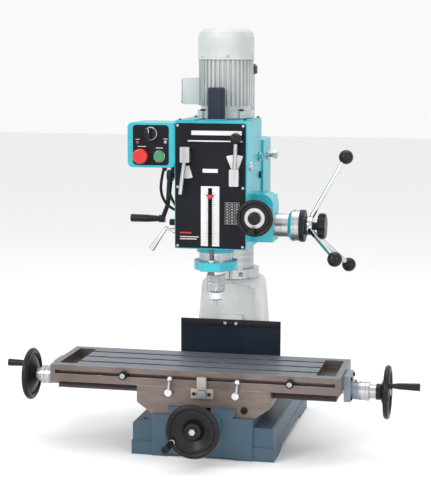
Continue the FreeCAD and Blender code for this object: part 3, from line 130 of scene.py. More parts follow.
class MaterialMaker:
    """Builds the node tree of one finish."""

    SCALES = {
        Surface.PAINT: (260.0, 0.05), Surface.GROUND: (90.0, 0.10), Surface.TURNED: (120.0, 0.08),
        Surface.CAST: (420.0, 0.22), Surface.PLAIN: (300.0, 0.03), Surface.KNURLED: (200.0, 0.05),
        Surface.FLAT: (600.0, 0.0),
    }

    def __init__(self, made: bpy.types.Material, finish: Finish) -> None:
        """Args:
            made: the empty material.
            finish: what it has to look like.
        """
        self.tree = made.node_tree
        self.finish = finish
        self.shader = self.tree.nodes["Principled BSDF"]

    def node(self, kind: str, **values: object) -> bpy.types.Node:
        """Adds a node.

        Args:
            kind: the node's Blender type, without its shader prefix.
            values: its own settings.

        Returns:
            The new node.
        """
        made = self.tree.nodes.new("ShaderNode" + kind)
        for key, value in values.items():
            setattr(made, key, value)
        return made

    def link(self, start: Socket, end: Socket) -> None:
        """Joins two sockets."""
        self.tree.links.new(start, end)

    def mix(self, factor: Socket, first: object, second: object) -> Socket:
        """Mixes two colours.

        Args:
            factor: how much of the second shows.
            first: a colour or a socket.
            second: a colour or a socket.

        Returns:
            The mixed colour's socket.
        """
        made = self.node("Mix", data_type="RGBA")
        self.link(factor, made.inputs["Factor"])
        for key, value in ((6, first), (7, second)):
            if isinstance(value, Socket):
                self.link(value, made.inputs[key])
            else:
                made.inputs[key].default_value = (*value, 1.0)
        return made.outputs[2]

    def math(self, operation: str, *terms: object) -> Socket:
        """One arithmetic step.

        Args:
            operation: the Math node's operation.
            terms: numbers or sockets.

        Returns:
            The result's socket.
        """
        made = self.node("Math", operation=operation)
        for place, term in enumerate(terms):
            if isinstance(term, Socket):
                self.link(term, made.inputs[place])
            else:
                made.inputs[place].default_value = term
        return made.outputs[0]

    def noise(self, scale: float, detail: float,
              stretch: Point = (1.0, 1.0, 1.0)) -> Socket:
        """Noise in the object's own space, which may be drawn out along an axis.

        Args:
            scale: how fine it is, per metre.
            detail: how many finer layers it has.
            stretch: the scale along each axis.

        Returns:
            The noise value's socket.
        """
        place = self.node("TexCoord")
        mapping = self.node("Mapping")
        mapping.inputs["Scale"].default_value = stretch
        made = self.node("TexNoise")
        made.inputs["Scale"].default_value = scale
        made.inputs["Detail"].default_value = detail
        self.link(place.outputs["Object"], mapping.inputs["Vector"])
        self.link(mapping.outputs["Vector"], made.inputs["Vector"])
        return made.outputs["Fac"]

    def ramp(self, value: Socket, low: float, high: float) -> Socket:
        """Stretches the part of a value between low and high to 0 to 1."""
        made = self.node("MapRange")
        made.inputs["From Min"].default_value = low
        made.inputs["From Max"].default_value = high
        self.link(value, made.inputs["Value"])
        return made.outputs["Result"]

    def edge_mask(self) -> Socket:
        """Where the surface turns a sharp edge.

        Returns:
            A socket that is 1 on edges and 0 on flats.
        """
        bevel = self.node("Bevel", samples=4)
        bevel.inputs["Radius"].default_value = 1.6 * MM
        geometry = self.node("NewGeometry")
        dot = self.node("VectorMath", operation="DOT_PRODUCT")
        self.link(bevel.outputs["Normal"], dot.inputs[0])
        self.link(geometry.outputs["Normal"], dot.inputs[1])
        return self.ramp(dot.outputs["Value"], 0.985, 0.86)

    def knurl(self) -> Socket:
        """A diamond pattern round an upright axis.

        Returns:
            The pattern's height.
        """
        low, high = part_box("chuck_sleeve")
        place = self.node("TexCoord")
        split = self.node("SeparateXYZ")
        self.link(place.outputs["Object"], split.inputs[0])
        across = self.math("SUBTRACT", split.outputs["X"], (low.x + high.x) / 2)
        along = self.math("SUBTRACT", split.outputs["Y"], (low.y + high.y) / 2)
        turn = self.math("MULTIPLY", self.math("ARCTAN2", along, across), 44.0)
        rise = self.math("MULTIPLY", split.outputs["Z"], 1700.0)
        first = self.math("SINE", self.math("ADD", turn, rise))
        second = self.math("SINE", self.math("SUBTRACT", turn, rise))
        return self.math("MULTIPLY", first, second)

    def topped_with_painted_shade(self, cloud: Socket, top: Socket) -> Socket:
        """Keeps the top's colour to the upper face, with paler sides, and paints shade on the slot floors
        and the underside.

        Args:
            cloud: the coarse noise.
            top: the top's colour.

        Returns:
            The mixed colour's socket.
        """
        sides = self.finish.side_colour
        shade = tuple(c * 0.72 for c in sides)
        # deep is painted shade: the dark colour laid on the slot and trough floors and on the underside,
        # where shadow falls.
        deep = tuple(c * 0.35 for c in sides)
        normal = self.node("SeparateXYZ")
        self.link(self.node("NewGeometry").outputs["Normal"], normal.inputs[0])
        place = self.node("SeparateXYZ")
        self.link(self.node("TexCoord").outputs["Object"], place.inputs[0])
        facing_up = self.ramp(normal.outputs["Z"], 0.4, 0.8)
        on_top = self.math("GREATER_THAN", place.outputs["Z"], self.finish.top_level)
        upper = self.math("MULTIPLY", facing_up, on_top)
        # Up-facing floors below the top level are the slot and trough floors; they get painted shade.
        shaded_floor_mask = self.math("SUBTRACT", facing_up, upper)
        # Everything below the lower set height, under the apron, gets painted shade.
        under = self.math("LESS_THAN", place.outputs["Z"], self.finish.painted_shade_below)
        colour = self.mix(upper, self.mix(self.ramp(cloud, 0.35, 0.65), shade, sides), top)
        return self.mix(under, self.mix(shaded_floor_mask, colour, deep), deep)

    def build(self) -> None:
        """Joins colour, roughness and relief to the shader."""
        finish = self.finish
        fine, strength = self.SCALES[finish.surface]
        if finish.surface is Surface.FLAT:
            shade = tuple(c * 0.985 for c in finish.colour)
            paper = self.mix(self.noise(fine, 2.0), finish.colour, shade)
            self.link(paper, self.shader.inputs["Base Color"])
            self.shader.inputs["Roughness"].default_value = finish.roughness
            self.shader.inputs["Specular IOR Level"].default_value = finish.shine
            return
        cloud = self.noise(9.0, 4.0, finish.stretch)
        grain = self.noise(fine, 6.0, finish.stretch)
        dark = tuple(c * 0.80 for c in finish.colour)
        light = tuple(min(c * 1.10 + 0.004, 1.0) for c in finish.colour)
        colour = self.mix(self.ramp(cloud, 0.3, 0.7), dark, light)
        # Top and side colours, with painted shade on the floors and underside.
        if finish.side_colour is not None:
            colour = self.topped_with_painted_shade(cloud, colour)
        speck = self.mix(self.ramp(grain, 0.62, 0.80), colour, dark)
        if finish.worn is not None:
            patches = self.ramp(self.noise(45.0, 5.0), 0.40, 0.62)
            scuffed = self.math("MULTIPLY", self.edge_mask(), patches)
            speck = self.mix(scuffed, speck, finish.worn)
        self.link(speck, self.shader.inputs["Base Color"])
        self.shader.inputs["Metallic"].default_value = finish.metallic
        rough = self.math("MULTIPLY_ADD", grain, 0.16, finish.roughness - 0.08)
        self.link(rough, self.shader.inputs["Roughness"])
        self.shader.inputs["Specular IOR Level"].default_value = finish.shine
        self.shader.inputs["Coat Weight"].default_value = finish.coat
        self.shader.inputs["Coat Roughness"].default_value = 0.12
        height = self.knurl() if finish.surface is Surface.KNURLED else grain
        bump = self.node("Bump")
        bump.inputs["Strength"].default_value = 0.9 if finish.surface is Surface.KNURLED else strength
        bump.inputs["Distance"].default_value = 0.4 * MM
        soft = self.node("Bevel", samples=4)
        soft.inputs["Radius"].default_value = 0.9 * MM
        self.link(height, bump.inputs["Height"])
        self.link(soft.outputs["Normal"], bump.inputs["Normal"])
        self.link(bump.outputs["Normal"], self.shader.inputs["Normal"])


TEAL = Finish("teal_enamel", "head_teal", (0.022, 0.385, 0.46), roughness=0.34, coat=0.2,
              worn=(0.02, 0.20, 0.24), shine=0.4)
BLUE = Finish("blue_enamel", "base_blue", (0.050, 0.092, 0.130), roughness=0.45, coat=0.05,
              surface=Surface.CAST, worn=(0.07, 0.13, 0.19), shine=0.3)
GREY = Finish("grey_enamel", "pedestal_grey", (0.56, 0.57, 0.56), roughness=0.5,
              surface=Surface.CAST, shine=0.3)
IVORY = Finish("motor_enamel", "motor_white", (0.50, 0.525, 0.525), roughness=0.45, coat=0.05, shine=0.35)
BLACK_PANEL = Finish("panel_black", "plate_black", (0.006, 0.007, 0.011), roughness=0.5,
                     surface=Surface.PLAIN, shine=0.12)
BLACK = Finish("moulded_black", "cap_black", (0.007, 0.007, 0.008), roughness=0.32,
               surface=Surface.PLAIN, shine=0.25)
BLACKED = Finish("blacked_steel", "cap_black", (0.016, 0.016, 0.018), metallic=0.3, roughness=0.42,
                 surface=Surface.TURNED, shine=0.2)
NAVY_TUBE = Finish("navy_tube", "cap_blue", (0.012, 0.018, 0.036), roughness=0.42, shine=0.25)
RUBBER = Finish("cover_rubber_sheet", "cover_rubber", (0.008, 0.014, 0.026), roughness=0.65,
                surface=Surface.CAST, shine=0.15)
CABLE = Finish("cable_sheath", "cable_black", (0.008, 0.008, 0.009), roughness=0.5,
               surface=Surface.PLAIN, shine=0.2)
# Painted shade: the table's slot and trough floors below 0.2355 m and all of it below 0.1893 m are
# darkened.
TABLE_STEEL = Finish("table_ground", "ground_steel", (0.17, 0.20, 0.245), metallic=0.7, roughness=0.40,
                     surface=Surface.GROUND, stretch=(1.0, 14.0, 1.0),
                     side_colour=(0.20, 0.155, 0.14), worn=(0.50, 0.50, 0.50),
                     top_level=0.2355, painted_shade_below=0.1893)
IRON = Finish("machined_iron", "saddle_iron", (0.19, 0.15, 0.135), metallic=0.6, roughness=0.45,
              surface=Surface.GROUND, stretch=(1.0, 8.0, 8.0), worn=(0.40, 0.37, 0.35))
BEIGE_STEEL = Finish("machined_beige", "saddle_iron", (0.46, 0.42, 0.37), metallic=0.6, roughness=0.4,
                     surface=Surface.GROUND, stretch=(1.0, 8.0, 8.0))
SILVER = Finish("turned_silver", "bright_steel", (0.50, 0.51, 0.52), metallic=0.9, roughness=0.27,
                surface=Surface.TURNED, stretch=(12.0, 1.0, 1.0))
DARK_STEEL = Finish("dark_steel", "bright_steel", (0.12, 0.125, 0.13), metallic=0.8, roughness=0.34,
                    surface=Surface.TURNED)
COLUMN_STEEL = Finish("column_ground", "ground_steel", (0.46, 0.48, 0.50), metallic=0.85, roughness=0.25,
                      surface=Surface.TURNED, stretch=(1.0, 1.0, 10.0))
BRACKET_STEEL = Finish("bracket_grey", "ground_steel", (0.22, 0.27, 0.32), metallic=0.4, roughness=0.42)
CHROME = Finish("polished_chrome", "chrome", (0.66, 0.67, 0.69), metallic=1.0, roughness=0.14,
                surface=Surface.PLAIN)
KNURLED = Finish("knurled_chrome", "chrome", (0.50, 0.51, 0.53), metallic=1.0, roughness=0.27,
                 surface=Surface.KNURLED)
BRONZE = Finish("feed_bronze", "bronze", (0.50, 0.32, 0.13), metallic=0.9, roughness=0.35,
                surface=Surface.TURNED)
WHITE = Finish("printed_white", "motor_white", (0.62, 0.63, 0.62), roughness=0.5, surface=Surface.PLAIN)
INK = Finish("printed_black", "plate_black", (0.01, 0.01, 0.01), roughness=0.5, surface=Surface.PLAIN,
             shine=0.15)
RED_INK = Finish("printed_red", "stop_red", (0.50, 0.015, 0.015), roughness=0.45, surface=Surface.PLAIN)
STOP_RED = Finish("stop_button_red", "stop_red", (0.50, 0.010, 0.008), roughness=0.28, coat=0.25,
                  surface=Surface.PLAIN)
GO_GREEN = Finish("start_button_green", "start_green", (0.035, 0.20, 0.085), roughness=0.35, coat=0.1,
                  surface=Surface.PLAIN)
LAMP_RED = Finish("lamp_red", "stop_red", (0.30, 0.02, 0.02), roughness=0.2, coat=0.4,
                  surface=Surface.PLAIN)
LAMP_GREEN = Finish("lamp_green", "start_green", (0.22, 0.42, 0.27), roughness=0.2, coat=0.4,
                    surface=Surface.PLAIN)
FLOOR = Finish("studio_floor", "motor_white", (0.90, 0.90, 0.90), roughness=0.85, surface=Surface.FLAT,
               shine=0.05)

DRESSED_NODES: dict[Finish, tuple[str, ...]] = {
    BLUE: ("base_casting", "screw_bracket"),
    GREY: ("column_pedestal",),
    COLUMN_STEEL: ("column", "quill"),
    SILVER: ("column_collar", "long_screw", "cross_screw", "rack", "sleeve_bolts", "elevation_gear",
        "spring_cover", "motor_rotor", "counter_gears", "drive_sleeve", "spindle", "chuck_jaw_1",
        "chuck_jaw_2", "chuck_jaw_3", "feed_shaft", "selector_left", "selector_right"),
    BLACK: ("column_cap", "long_handwheels", "grip_right", "grip_left", "cross_handwheel",
        "grip_front", "crank_grip", "lever_balls", "star_knob", "fine_wheel", "speed_switch"),
    RUBBER: ("way_cover",),
    IRON: ("saddle",),
    BEIGE_STEEL: ("stop_bracket",),
    BRONZE: ("feed_nuts",),
    CHROME: ("table_lock_left", "table_lock_right", "drill_chuck", "feed_levers", "quill_lock"),
    TABLE_STEEL: ("table",),
    BRACKET_STEEL: ("end_brackets",),
    BLACKED: ("table_stop_left", "table_stop_right", "elevation_crank"),
    TEAL: ("column_sleeve", "head_casting", "control_box", "quill_bracket"),
    BLACK_PANEL: ("front_plate",),
    IVORY: ("motor_housing", "fan_cover"),
    NAVY_TUBE: ("drawbar_cap",),
    CABLE: ("motor_cables",),
    DARK_STEEL: ("depth_rod",),
    KNURLED: ("chuck_sleeve",),
    STOP_RED: ("estop_button",),
    GO_GREEN: ("start_button",),
}
NODE_FINISHES = {name: finish for finish, names in DRESSED_NODES.items() for name in names}


# ---------------------------------------------------------------- making pieces
def add_object(name: str, data: object) -> Piece:
    """Adds an object that holds a mesh, curve, light or camera to the scene."""
    made = bpy.data.objects.new(name, data)
    bpy.context.scene.collection.objects.link(made)
    return made


@dataclass
class Maker:
    """Makes mesh pieces that ride on one CAD body."""

    body: str

    def finish(self, made: Piece, finish: Finish) -> Piece:
        """Dresses a piece, links it and lets it ride on the body.

        Args:
            made: the new object.
            finish: its surface finish.

        Returns:
            The same object.
        """
        made.data.materials.append(finish.material())
        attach(made, self.body)
        LOG.info("piece %s on %s", made.name, self.body)
        return made

    def from_bmesh(self, name: str, shape: bmesh.types.BMesh, finish: Finish,
                   smooth: bool = True) -> Piece:
        """Turns a bmesh into a piece.

        Args:
            name: the piece's name.
            shape: its mesh, which is freed.
            finish: its surface finish.
            smooth: whether faces are shaded smooth, with sharp edges kept.

        Returns:
            The new object.
        """
        mesh = bpy.data.meshes.new(name)
        bmesh.ops.recalc_face_normals(shape, faces=shape.faces)
        for edge in shape.edges:
            edge.smooth = len(edge.link_faces) == 2 and edge.calc_face_angle(0) < math.radians(35)
        for face in shape.faces:
            face.smooth = smooth
        shape.to_mesh(mesh)
        shape.free()
        return self.finish(add_object(name, mesh), finish)

    def slabs(self, name: str, limits: Iterable[tuple[Point, Point]], finish: Finish,
              edge: float = 0.0004) -> Piece:
        """One piece of several boxes with softened edges.

        Args:
            name: the piece's name.
            limits: each box's lowest and highest corner.
            finish: its surface finish.
            edge: the width of the softened edges.

        Returns:
            The new object.
        """
        shape = bmesh.new()
        for low, high in limits:
            middle = (Vector(low) + Vector(high)) / 2
            size = Vector(high) - Vector(low)
            place = Matrix.Translation(middle) @ Matrix.Diagonal((*size, 1.0))
            bmesh.ops.create_cube(shape, size=1.0, matrix=place)
        if edge > 0:
            bmesh.ops.bevel(shape, geom=list(shape.edges), offset=edge, segments=2, profile=0.5,
                            affect="EDGES", clamp_overlap=True)
        return self.from_bmesh(name, shape, finish)

    def lathe(self, name: str, axis: Axis, centres: Iterable[Point], profile: Sequence[Pair],
              finish: Finish, steps: int = 48) -> Piece:
        """Turned pieces: a (radius, height) profile spun round an axis at each centre.

        Args:
            name: the piece's name.
            axis: the line it is spun round; heights run along it.
            centres: where each copy's height 0 stands.
            profile: the outline from its start to its end.
            finish: its surface finish.
            steps: how many sides it has.

        Returns:
            The new object.
        """
        shape = bmesh.new()
        for centre in centres:
            place = Matrix.Translation(centre) @ axis.turn()
            rings = []
            for radius, height in profile:
                if radius < 1e-6:
                    rings.append([shape.verts.new(place @ Vector((0, 0, height)))])
                    continue
                ring = []
                for step in range(steps):
                    angle = 2 * math.pi * step / steps
                    spot = Vector((radius * math.cos(angle), radius * math.sin(angle), height))
                    ring.append(shape.verts.new(place @ spot))
                rings.append(ring)
            for lower, upper in zip(rings, rings[1:]):
                for step in range(steps):
                    after = (step + 1) % steps
                    corners = [lower[step % len(lower)], lower[after % len(lower)],
                               upper[after % len(upper)], upper[step % len(upper)]]
                    unique = list(dict.fromkeys(corners))
                    if len(unique) > 2:
                        shape.faces.new(unique)
        return self.from_bmesh(name, shape, finish)

    def screws(self, name: str, axis: Axis, centres: Iterable[Point], radius: float,
               finish: Finish = SILVER, outward: int = -1) -> Piece:
        """Socket or cheese head screws that stand proud of a face.

        Args:
            name: the piece's name.
            axis: the screws' axis.
            centres: where each head meets its face.
            radius: the head's radius.
            finish: its surface finish.
            outward: which way along the axis the heads point.

        Returns:
            The new object.
        """
        deep = radius * 0.7 * outward
        profile = [(radius, 0), (radius, deep * 0.8), (radius * 0.85, deep), (radius * 0.5, deep),
                   (radius * 0.45, deep * 0.35), (0, deep * 0.35)]
        return self.lathe(name, axis, centres, profile, finish, steps=24)

    def outline_plate(self, name: str, points: Sequence[Pair], front: float, back: float,
                      finish: Finish) -> Piece:
        """A flat plate across Y, from its (x, z) outline.

        Args:
            name: the piece's name.
            points: the outline, in order.
            front: the plate's front, along Y.
            back: the plate's back, along Y.
            finish: its surface finish.

        Returns:
            The new object.
        """
        shape = bmesh.new()
        near = [shape.verts.new((x, front, z)) for x, z in points]
        far = [shape.verts.new((x, back, z)) for x, z in points]
        shape.faces.new(near)
        shape.faces.new(list(reversed(far)))
        for here in range(len(points)):
            after = (here + 1) % len(points)
            shape.faces.new((near[here], far[here], far[after], near[after]))
        return self.from_bmesh(name, shape, finish)

    def ring_marks(self, name: str, axis: Axis, centre: Point, radius: float, low: float, high: float,
                   count: int) -> Piece:
        """Engraved graduations round a dial, every fifth one long.

        Args:
            name: the piece's name.
            axis: the dial's axis.
            centre: the dial's centre.
            radius: the dial's radius.
            low: where the marks start, along the axis from the centre.
            high: where the longest marks end.
            count: how many marks there are.

        Returns:
            The new object.
        """
        shape = bmesh.new()
        for mark in range(count):
            length = (high - low) * (1.0 if mark % 5 == 0 else 0.6)
            middle = low + math.copysign(abs(length), high - low) / 2
            turn = Matrix.Rotation(2 * math.pi * mark / count, 4, "Z")
            place = Matrix.Translation((radius, 0, middle))
            size = Matrix.Diagonal((0.0003, 0.0005, abs(length), 1))
            whole = Matrix.Translation(centre) @ axis.turn() @ turn @ place @ size
            bmesh.ops.create_cube(shape, size=1.0, matrix=whole)
        return self.from_bmesh(name, shape, INK, smooth=False)


def rounded_outline(low_x: float, high_x: float, low_z: float, high_z: float,
                    corner: float) -> list[Pair]:
    """The outline of a rectangle with rounded corners.

    Args:
        low_x: its left side.
        high_x: its right side.
        low_z: its bottom.
        high_z: its top.
        corner: the corners' radius.

    Returns:
        The outline's points, in order.
    """
    points = []
    for centre_x, centre_z, start in (
        (high_x - corner, low_z + corner, -90), (high_x - corner, high_z - corner, 0),
        (low_x + corner, high_z - corner, 90), (low_x + corner, low_z + corner, 180),
    ):
        for step in range(7):
            angle = math.radians(start + 15 * step)
            points.append((centre_x + corner * math.cos(angle), centre_z + corner * math.sin(angle)))
    return points


def fan_outline(pivot: Pair, inner: float, outer: float, start: float, end: float) -> list[Pair]:
    """A sector of a ring, as an outline.

    Args:
        pivot: the fan's centre, (x, z).
        inner: its inner radius.
        outer: its outer radius.
        start: where it starts, in degrees from straight up, positive to the right.
        end: where it ends.

    Returns:
        The outline's points, in order.
    """
    points = []
    steps = 10
    for radius, first, last in ((outer, start, end), (inner, end, start)):
        for step in range(steps + 1):
            angle = math.radians(first + (last - first) * step / steps)
            points.append((pivot[0] + radius * math.sin(angle), pivot[1] + radius * math.cos(angle)))
    return points


# ---------------------------------------------------------------- sub-assemblies
@dataclass
class FrontPanel:
    """What is printed and screwed on the black plate of the head."""

    skin: float = 0.0006
    strip_half: float = 0.0255
    slot_half: float = 0.0057

    def build(self) -> None:
        """Makes the depth scale, the fans, the speed table and the screws."""
        make = Maker("head")
        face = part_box("front_plate")[0].y
        self.depth_scale(make, face)
        left, right = (-0.067, 0.812), (0.068, 0.750)
        make.outline_plate("selector_fan_left", fan_outline(left, 0.030, 0.064, 184, 163),
                           face - self.skin, face, WHITE)
        make.outline_plate("selector_fan_right", fan_outline(right, 0.026, 0.064, -22, 20),
                           face - self.skin, face, WHITE)
        spots = [(side * 0.090, face, height) for side in (-1, 1) for height in (0.565, 0.725, 0.891)]
        make.screws("plate_screws", Axis.Y, spots, 0.0038)
        self.blank_legends(make, face)
        self.speed_table(make, face)

    def depth_scale(self, make: Maker, face: float) -> None:
        """The white strips each side of the slot, with their graduations.

        Args:
            make: the maker for the head's pieces.
            face: the plate's front face, along Y.
        """
        low, high = 0.565, 0.728
        front = face - self.skin
        strips = [
            ((-self.strip_half, front, low), (-self.slot_half, face, high)),
            ((self.slot_half, front, low), (self.strip_half, face, high)),
            ((-self.slot_half, front, 0.7232), (self.slot_half, face, high)),
        ]
        make.slabs("depth_strip", strips, WHITE, edge=0.0001)
        marks = []
        for step in range(27):
            height = 0.573 + step * 0.0053
            reach = 0.012 if step % 5 == 0 else 0.006
            for side in (-1, 1):
                near, far = side * self.slot_half, side * (self.slot_half + reach)
                marks.append(((min(near, far), front - 0.0002, height - 0.0003),
                              (max(near, far), front + 0.0001, height + 0.0003)))
        make.slabs("depth_marks", marks, INK, edge=0)
        make.slabs("depth_window", [((-0.021, front, 0.7645), (0.021, face, 0.775))], WHITE, edge=0.0002)

    def blank_legends(self, make: Maker, face: float) -> None:
        """Plain bars where printed lines stand.

        Args:
            make: the maker for the head's pieces.
            face: the plate's front face, along Y.
        """
        front = face - 0.0003
        bars = [((-0.052, front, 0.8655), (0.086, face, 0.8775)),
                ((-0.062, front, 0.8480), (0.088, face, 0.8515))]
        make.slabs("legend_bars", bars, WHITE, edge=0)
        red = [((-0.084, front, 0.598), (-0.052, face, 0.602))]
        white = [((-0.084, front, 0.588 - 0.006 * row), (-0.031 - 0.006 * row, face, 0.5905 - 0.006 * row))
                 for row in range(2)]
        make.slabs("note_bar_red", red, RED_INK, edge=0)
        make.slabs("note_bars", white, WHITE, edge=0)

    def speed_table(self, make: Maker, face: float) -> None:
        """A small printed grid with a column of cells.

        Args:
            make: the maker for the head's pieces.
            face: the plate's front face, along Y.
        """
        left, right, low, high = 0.041, 0.080, 0.626, 0.685
        front = face - 0.0003
        line = 0.0005
        rise = (high - low) / 8
        lines = [((left, front, low + k * rise), (right, face, low + k * rise + line)) for k in range(9)]
        lines += [((left + k * (right - left) / 3, front, low),
                   (left + k * (right - left) / 3 + line, face, high)) for k in range(4)]
        cells = []
        for row in range(8):
            for column in range(3):
                x = left + (column + 0.28) * (right - left) / 3
                z = low + (row + 0.38) * (high - low) / 8
                cells.append(((x, front, z), (x + 0.006, face, z + 0.0018)))
        make.slabs("speed_grid", lines, WHITE, edge=0)
        make.slabs("speed_cells", cells, WHITE, edge=0)


@dataclass
class ControlPanel:
    """The black panel of the switch box, its rings and lamps."""

    stop: Pair = (-0.192, 0.8065)
    start: Pair = (-0.142, 0.806)
    switch: Pair = (-0.167, 0.867)

    def build(self) -> None:
        """Makes the panel, bezels, lamps and small plain legends."""
        make = Maker("head")
        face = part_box("control_box")[0].y
        front = face - 0.0016
        panel = rounded_outline(-0.2165, -0.1165, 0.7815, 0.8905, 0.009)
        make.outline_plate("switch_panel", panel, front, face, BLACK_PANEL)
        ring = [(0.0142, 0.0), (0.0160, 0.0), (0.0162, -0.001), (0.0160, -0.0040), (0.0150, -0.0048),
                (0.0142, -0.0042)]
        make.lathe("start_ring", Axis.Y, [(self.start[0], front, self.start[1])], ring, SILVER)
        collar = [(0.0112, 0.0), (0.0190, 0.0), (0.0195, -0.0012), (0.0185, -0.0035), (0.0112, -0.0035)]
        make.lathe("stop_collar", Axis.Y, [(self.stop[0], front, self.stop[1])], collar, BLACK)
        bezel = [(0.0085, 0.0), (0.0185, 0.0), (0.0185, -0.0015), (0.0172, -0.0028), (0.0162, -0.0028)]
        make.lathe("switch_ring", Axis.Y, [(self.switch[0], face, self.switch[1])], bezel, SILVER)
        lamp = [(0.0045, 0.0), (0.0045, -0.0014), (0.0036, -0.0018), (0.0035, -0.0032), (0.0021, -0.0046),
                (0.0, -0.0050)]
        make.lathe("lamp_left", Axis.Y, [(-0.203, front, 0.843)], lamp, LAMP_RED, steps=24)
        make.lathe("lamp_right", Axis.Y, [(-0.125, front, 0.845)], lamp, LAMP_GREEN, steps=24)
        bars = [((self.start[0] - 0.010, front - 0.0002, 0.8275), (self.start[0] + 0.010, front, 0.8295)),
                ((self.stop[0] - 0.012, front - 0.0002, 0.8310), (self.stop[0] + 0.012, front, 0.8330)),
                ((-0.209, front - 0.0002, 0.8505), (-0.197, front, 0.8520)),
                ((-0.131, front - 0.0002, 0.8525), (-0.119, front, 0.8540))]
        make.slabs("switch_legends", bars, WHITE, edge=0)
        knob = Maker("speed_switch")
        knob_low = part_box("speed_switch")[0].y
        mark = ((self.switch[0] - 0.0008, knob_low - 0.0004, 0.8700),
                (self.switch[0] + 0.0008, knob_low + 0.0002, 0.8810))
        knob.slabs("switch_pointer", [mark], WHITE, edge=0.0001)
        glands = [(-0.146, -0.128, 0.775), (-0.121, -0.128, 0.775)]
        nut = [(0.0042, 0.0), (0.0085, 0.0), (0.0085, -0.006), (0.0068, -0.008), (0.0062, -0.013),
               (0.0042, -0.015)]
        make.lathe("cable_glands", Axis.Z, glands, nut, BLACK, steps=24)


@dataclass
class MotorTrim:
    """The small parts of the motor."""

    def build(self) -> None:
        """Makes the fan cover's screws and band, the terminal lid and the motor's bolts."""
        make = Maker("head")
        low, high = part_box("fan_cover")
        middle = (low + high) / 2
        reach = (high.x - low.x) / 2
        profile = [(0.0042, -0.001), (0.0042, 0.0012), (0.0030, 0.0022), (0.0, 0.0022)]
        for number, turn in enumerate((-75, -15, 45, 105, 165, 225)):
            outward = Vector((math.cos(math.radians(turn)), math.sin(math.radians(turn)), 0))
            spot = Vector((middle.x, middle.y, low.z + 0.010)) + outward * (reach - 0.0005)
            made = make.lathe(f"fan_cover_screw_{number}", Axis.Z, [(0, 0, 0)], profile, SILVER, steps=20)
            turn_to = Vector((0, 0, 1)).rotation_difference(outward).to_matrix().to_4x4()
            made.data.transform(Matrix.Translation(spot) @ turn_to)
        band = [(reach + 0.0001, 0.0), (reach + 0.0011, 0.0008), (reach + 0.0011, 0.0052),
                (reach + 0.0001, 0.0060)]
        make.lathe("fan_cover_band", Axis.Z, [(middle.x, middle.y, low.z)], band, IVORY, steps=72)
        box_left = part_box("motor_housing")[0].x
        lid = [((box_left - 0.003, -0.050, 0.944), (box_left + 0.0005, 0.018, 1.013))]
        make.slabs("terminal_lid", lid, IVORY, edge=0.002)
        corners = [(box_left - 0.003, y, z) for y in (-0.044, 0.012) for z in (0.950, 1.007)]
        make.screws("terminal_screws", Axis.X, corners, 0.0030)
        foot = 0.0775 * math.sqrt(0.5)
        feet = [(middle.x + foot * a, middle.y + foot * b, 0.925)
                for a, b in ((1, 1), (-1, 1), (-1, -1), (1, -1))]
        make.screws("motor_bolts", Axis.Z, feet, 0.0068, BLACKED, outward=1)


@dataclass
class Dials:
    """Graduations and nuts on the feed dials."""

    table_y: float = -0.174
    screw_z: float = 0.178
    cross_z: float = 0.104

    def build(self) -> None:
        """Makes the marks on each dial and the bracket screws."""
        screw = Maker("long_screw")
        right = (0.4082, self.table_y, self.screw_z)
        screw.ring_marks("dial_marks_right", Axis.X, right, 0.025, 0.001, 0.010, 50)
        left = (-0.4632, self.table_y, self.screw_z)
        screw.ring_marks("dial_marks_left", Axis.X, left, 0.025, -0.001, -0.010, 50)
        knurl = [(0.0252, 0.018), (0.0262, 0.019), (0.0262, 0.027), (0.0252, 0.028)]
        screw.lathe("dial_rim_right", Axis.X, [right], knurl, SILVER, steps=72)
        knurl_left = [(radius, -height) for radius, height in knurl]
        screw.lathe("dial_rim_left", Axis.X, [left], knurl_left, SILVER, steps=72)
        cross = Maker("cross_screw")
        front = (0.0, -0.3222, self.cross_z)
        cross.ring_marks("dial_marks_front", Axis.Y, front, 0.026, -0.001, -0.011, 50)
        rim = [(0.0262, -0.019), (0.0272, -0.020), (0.0272, -0.028), (0.0262, -0.029)]
        cross.lathe("dial_rim_front", Axis.Y, [front], rim, SILVER, steps=72)
        spots = [(x, -0.313, 0.100) for x in (-0.036, 0.036)]
        Maker("frame").screws("bracket_screws", Axis.Y, spots, 0.0058, BLACKED)
        table = Maker("table")
        for x, outward in ((0.389, 1), (-0.447, -1)):
            lower = -0.015 if outward > 0 else -0.003
            spots = [(x, self.table_y + dy, self.screw_z + dz) for dy in (-0.031, 0.031)
                     for dz in (lower, 0.038)]
            table.screws(f"end_screws_{'right' if outward > 0 else 'left'}", Axis.X, spots, 0.0058,
                         BLACKED, outward=outward)
        self.wheel_nuts()

    def wheel_nuts(self) -> None:
        """Makes the washer and nut at the middle of each handwheel, and the front grip's ferrule."""
        low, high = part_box("long_screw")
        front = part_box("cross_screw")[0].y
        places = (("right", "long_screw", Axis.X, (high.x, self.table_y, self.screw_z), 1),
                  ("left", "long_screw", Axis.X, (low.x, self.table_y, self.screw_z), -1),
                  ("front", "cross_screw", Axis.Y, (0.0, front, self.cross_z), -1))
        for side, body, axis, centre, out in places:
            make = Maker(body)
            washer = [(0.0090, -0.0008 * out), (0.0130, -0.0008 * out), (0.0130, 0.0014 * out),
                      (0.0, 0.0014 * out)]
            make.lathe(f"wheel_washer_{side}", axis, [centre], washer, BLACK, steps=32)
            nut = [(0.0092, 0.0014 * out), (0.0092, 0.0078 * out), (0.0084, 0.0086 * out),
                   (0.0, 0.0086 * out)]
            make.lathe(f"wheel_nut_{side}", axis, [centre], nut, SILVER, steps=6)
        low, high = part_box("grip_front")
        ferrule = [(0.0057, 0.0), (0.0076, -0.0010), (0.0076, -0.0060), (0.0064, -0.0072)]
        Maker("grip_front").lathe("grip_ferrule", Axis.Y,
                                  [((low.x + high.x) / 2, high.y, (low.z + high.z) / 2)], ferrule, CHROME,
                                  steps=32)


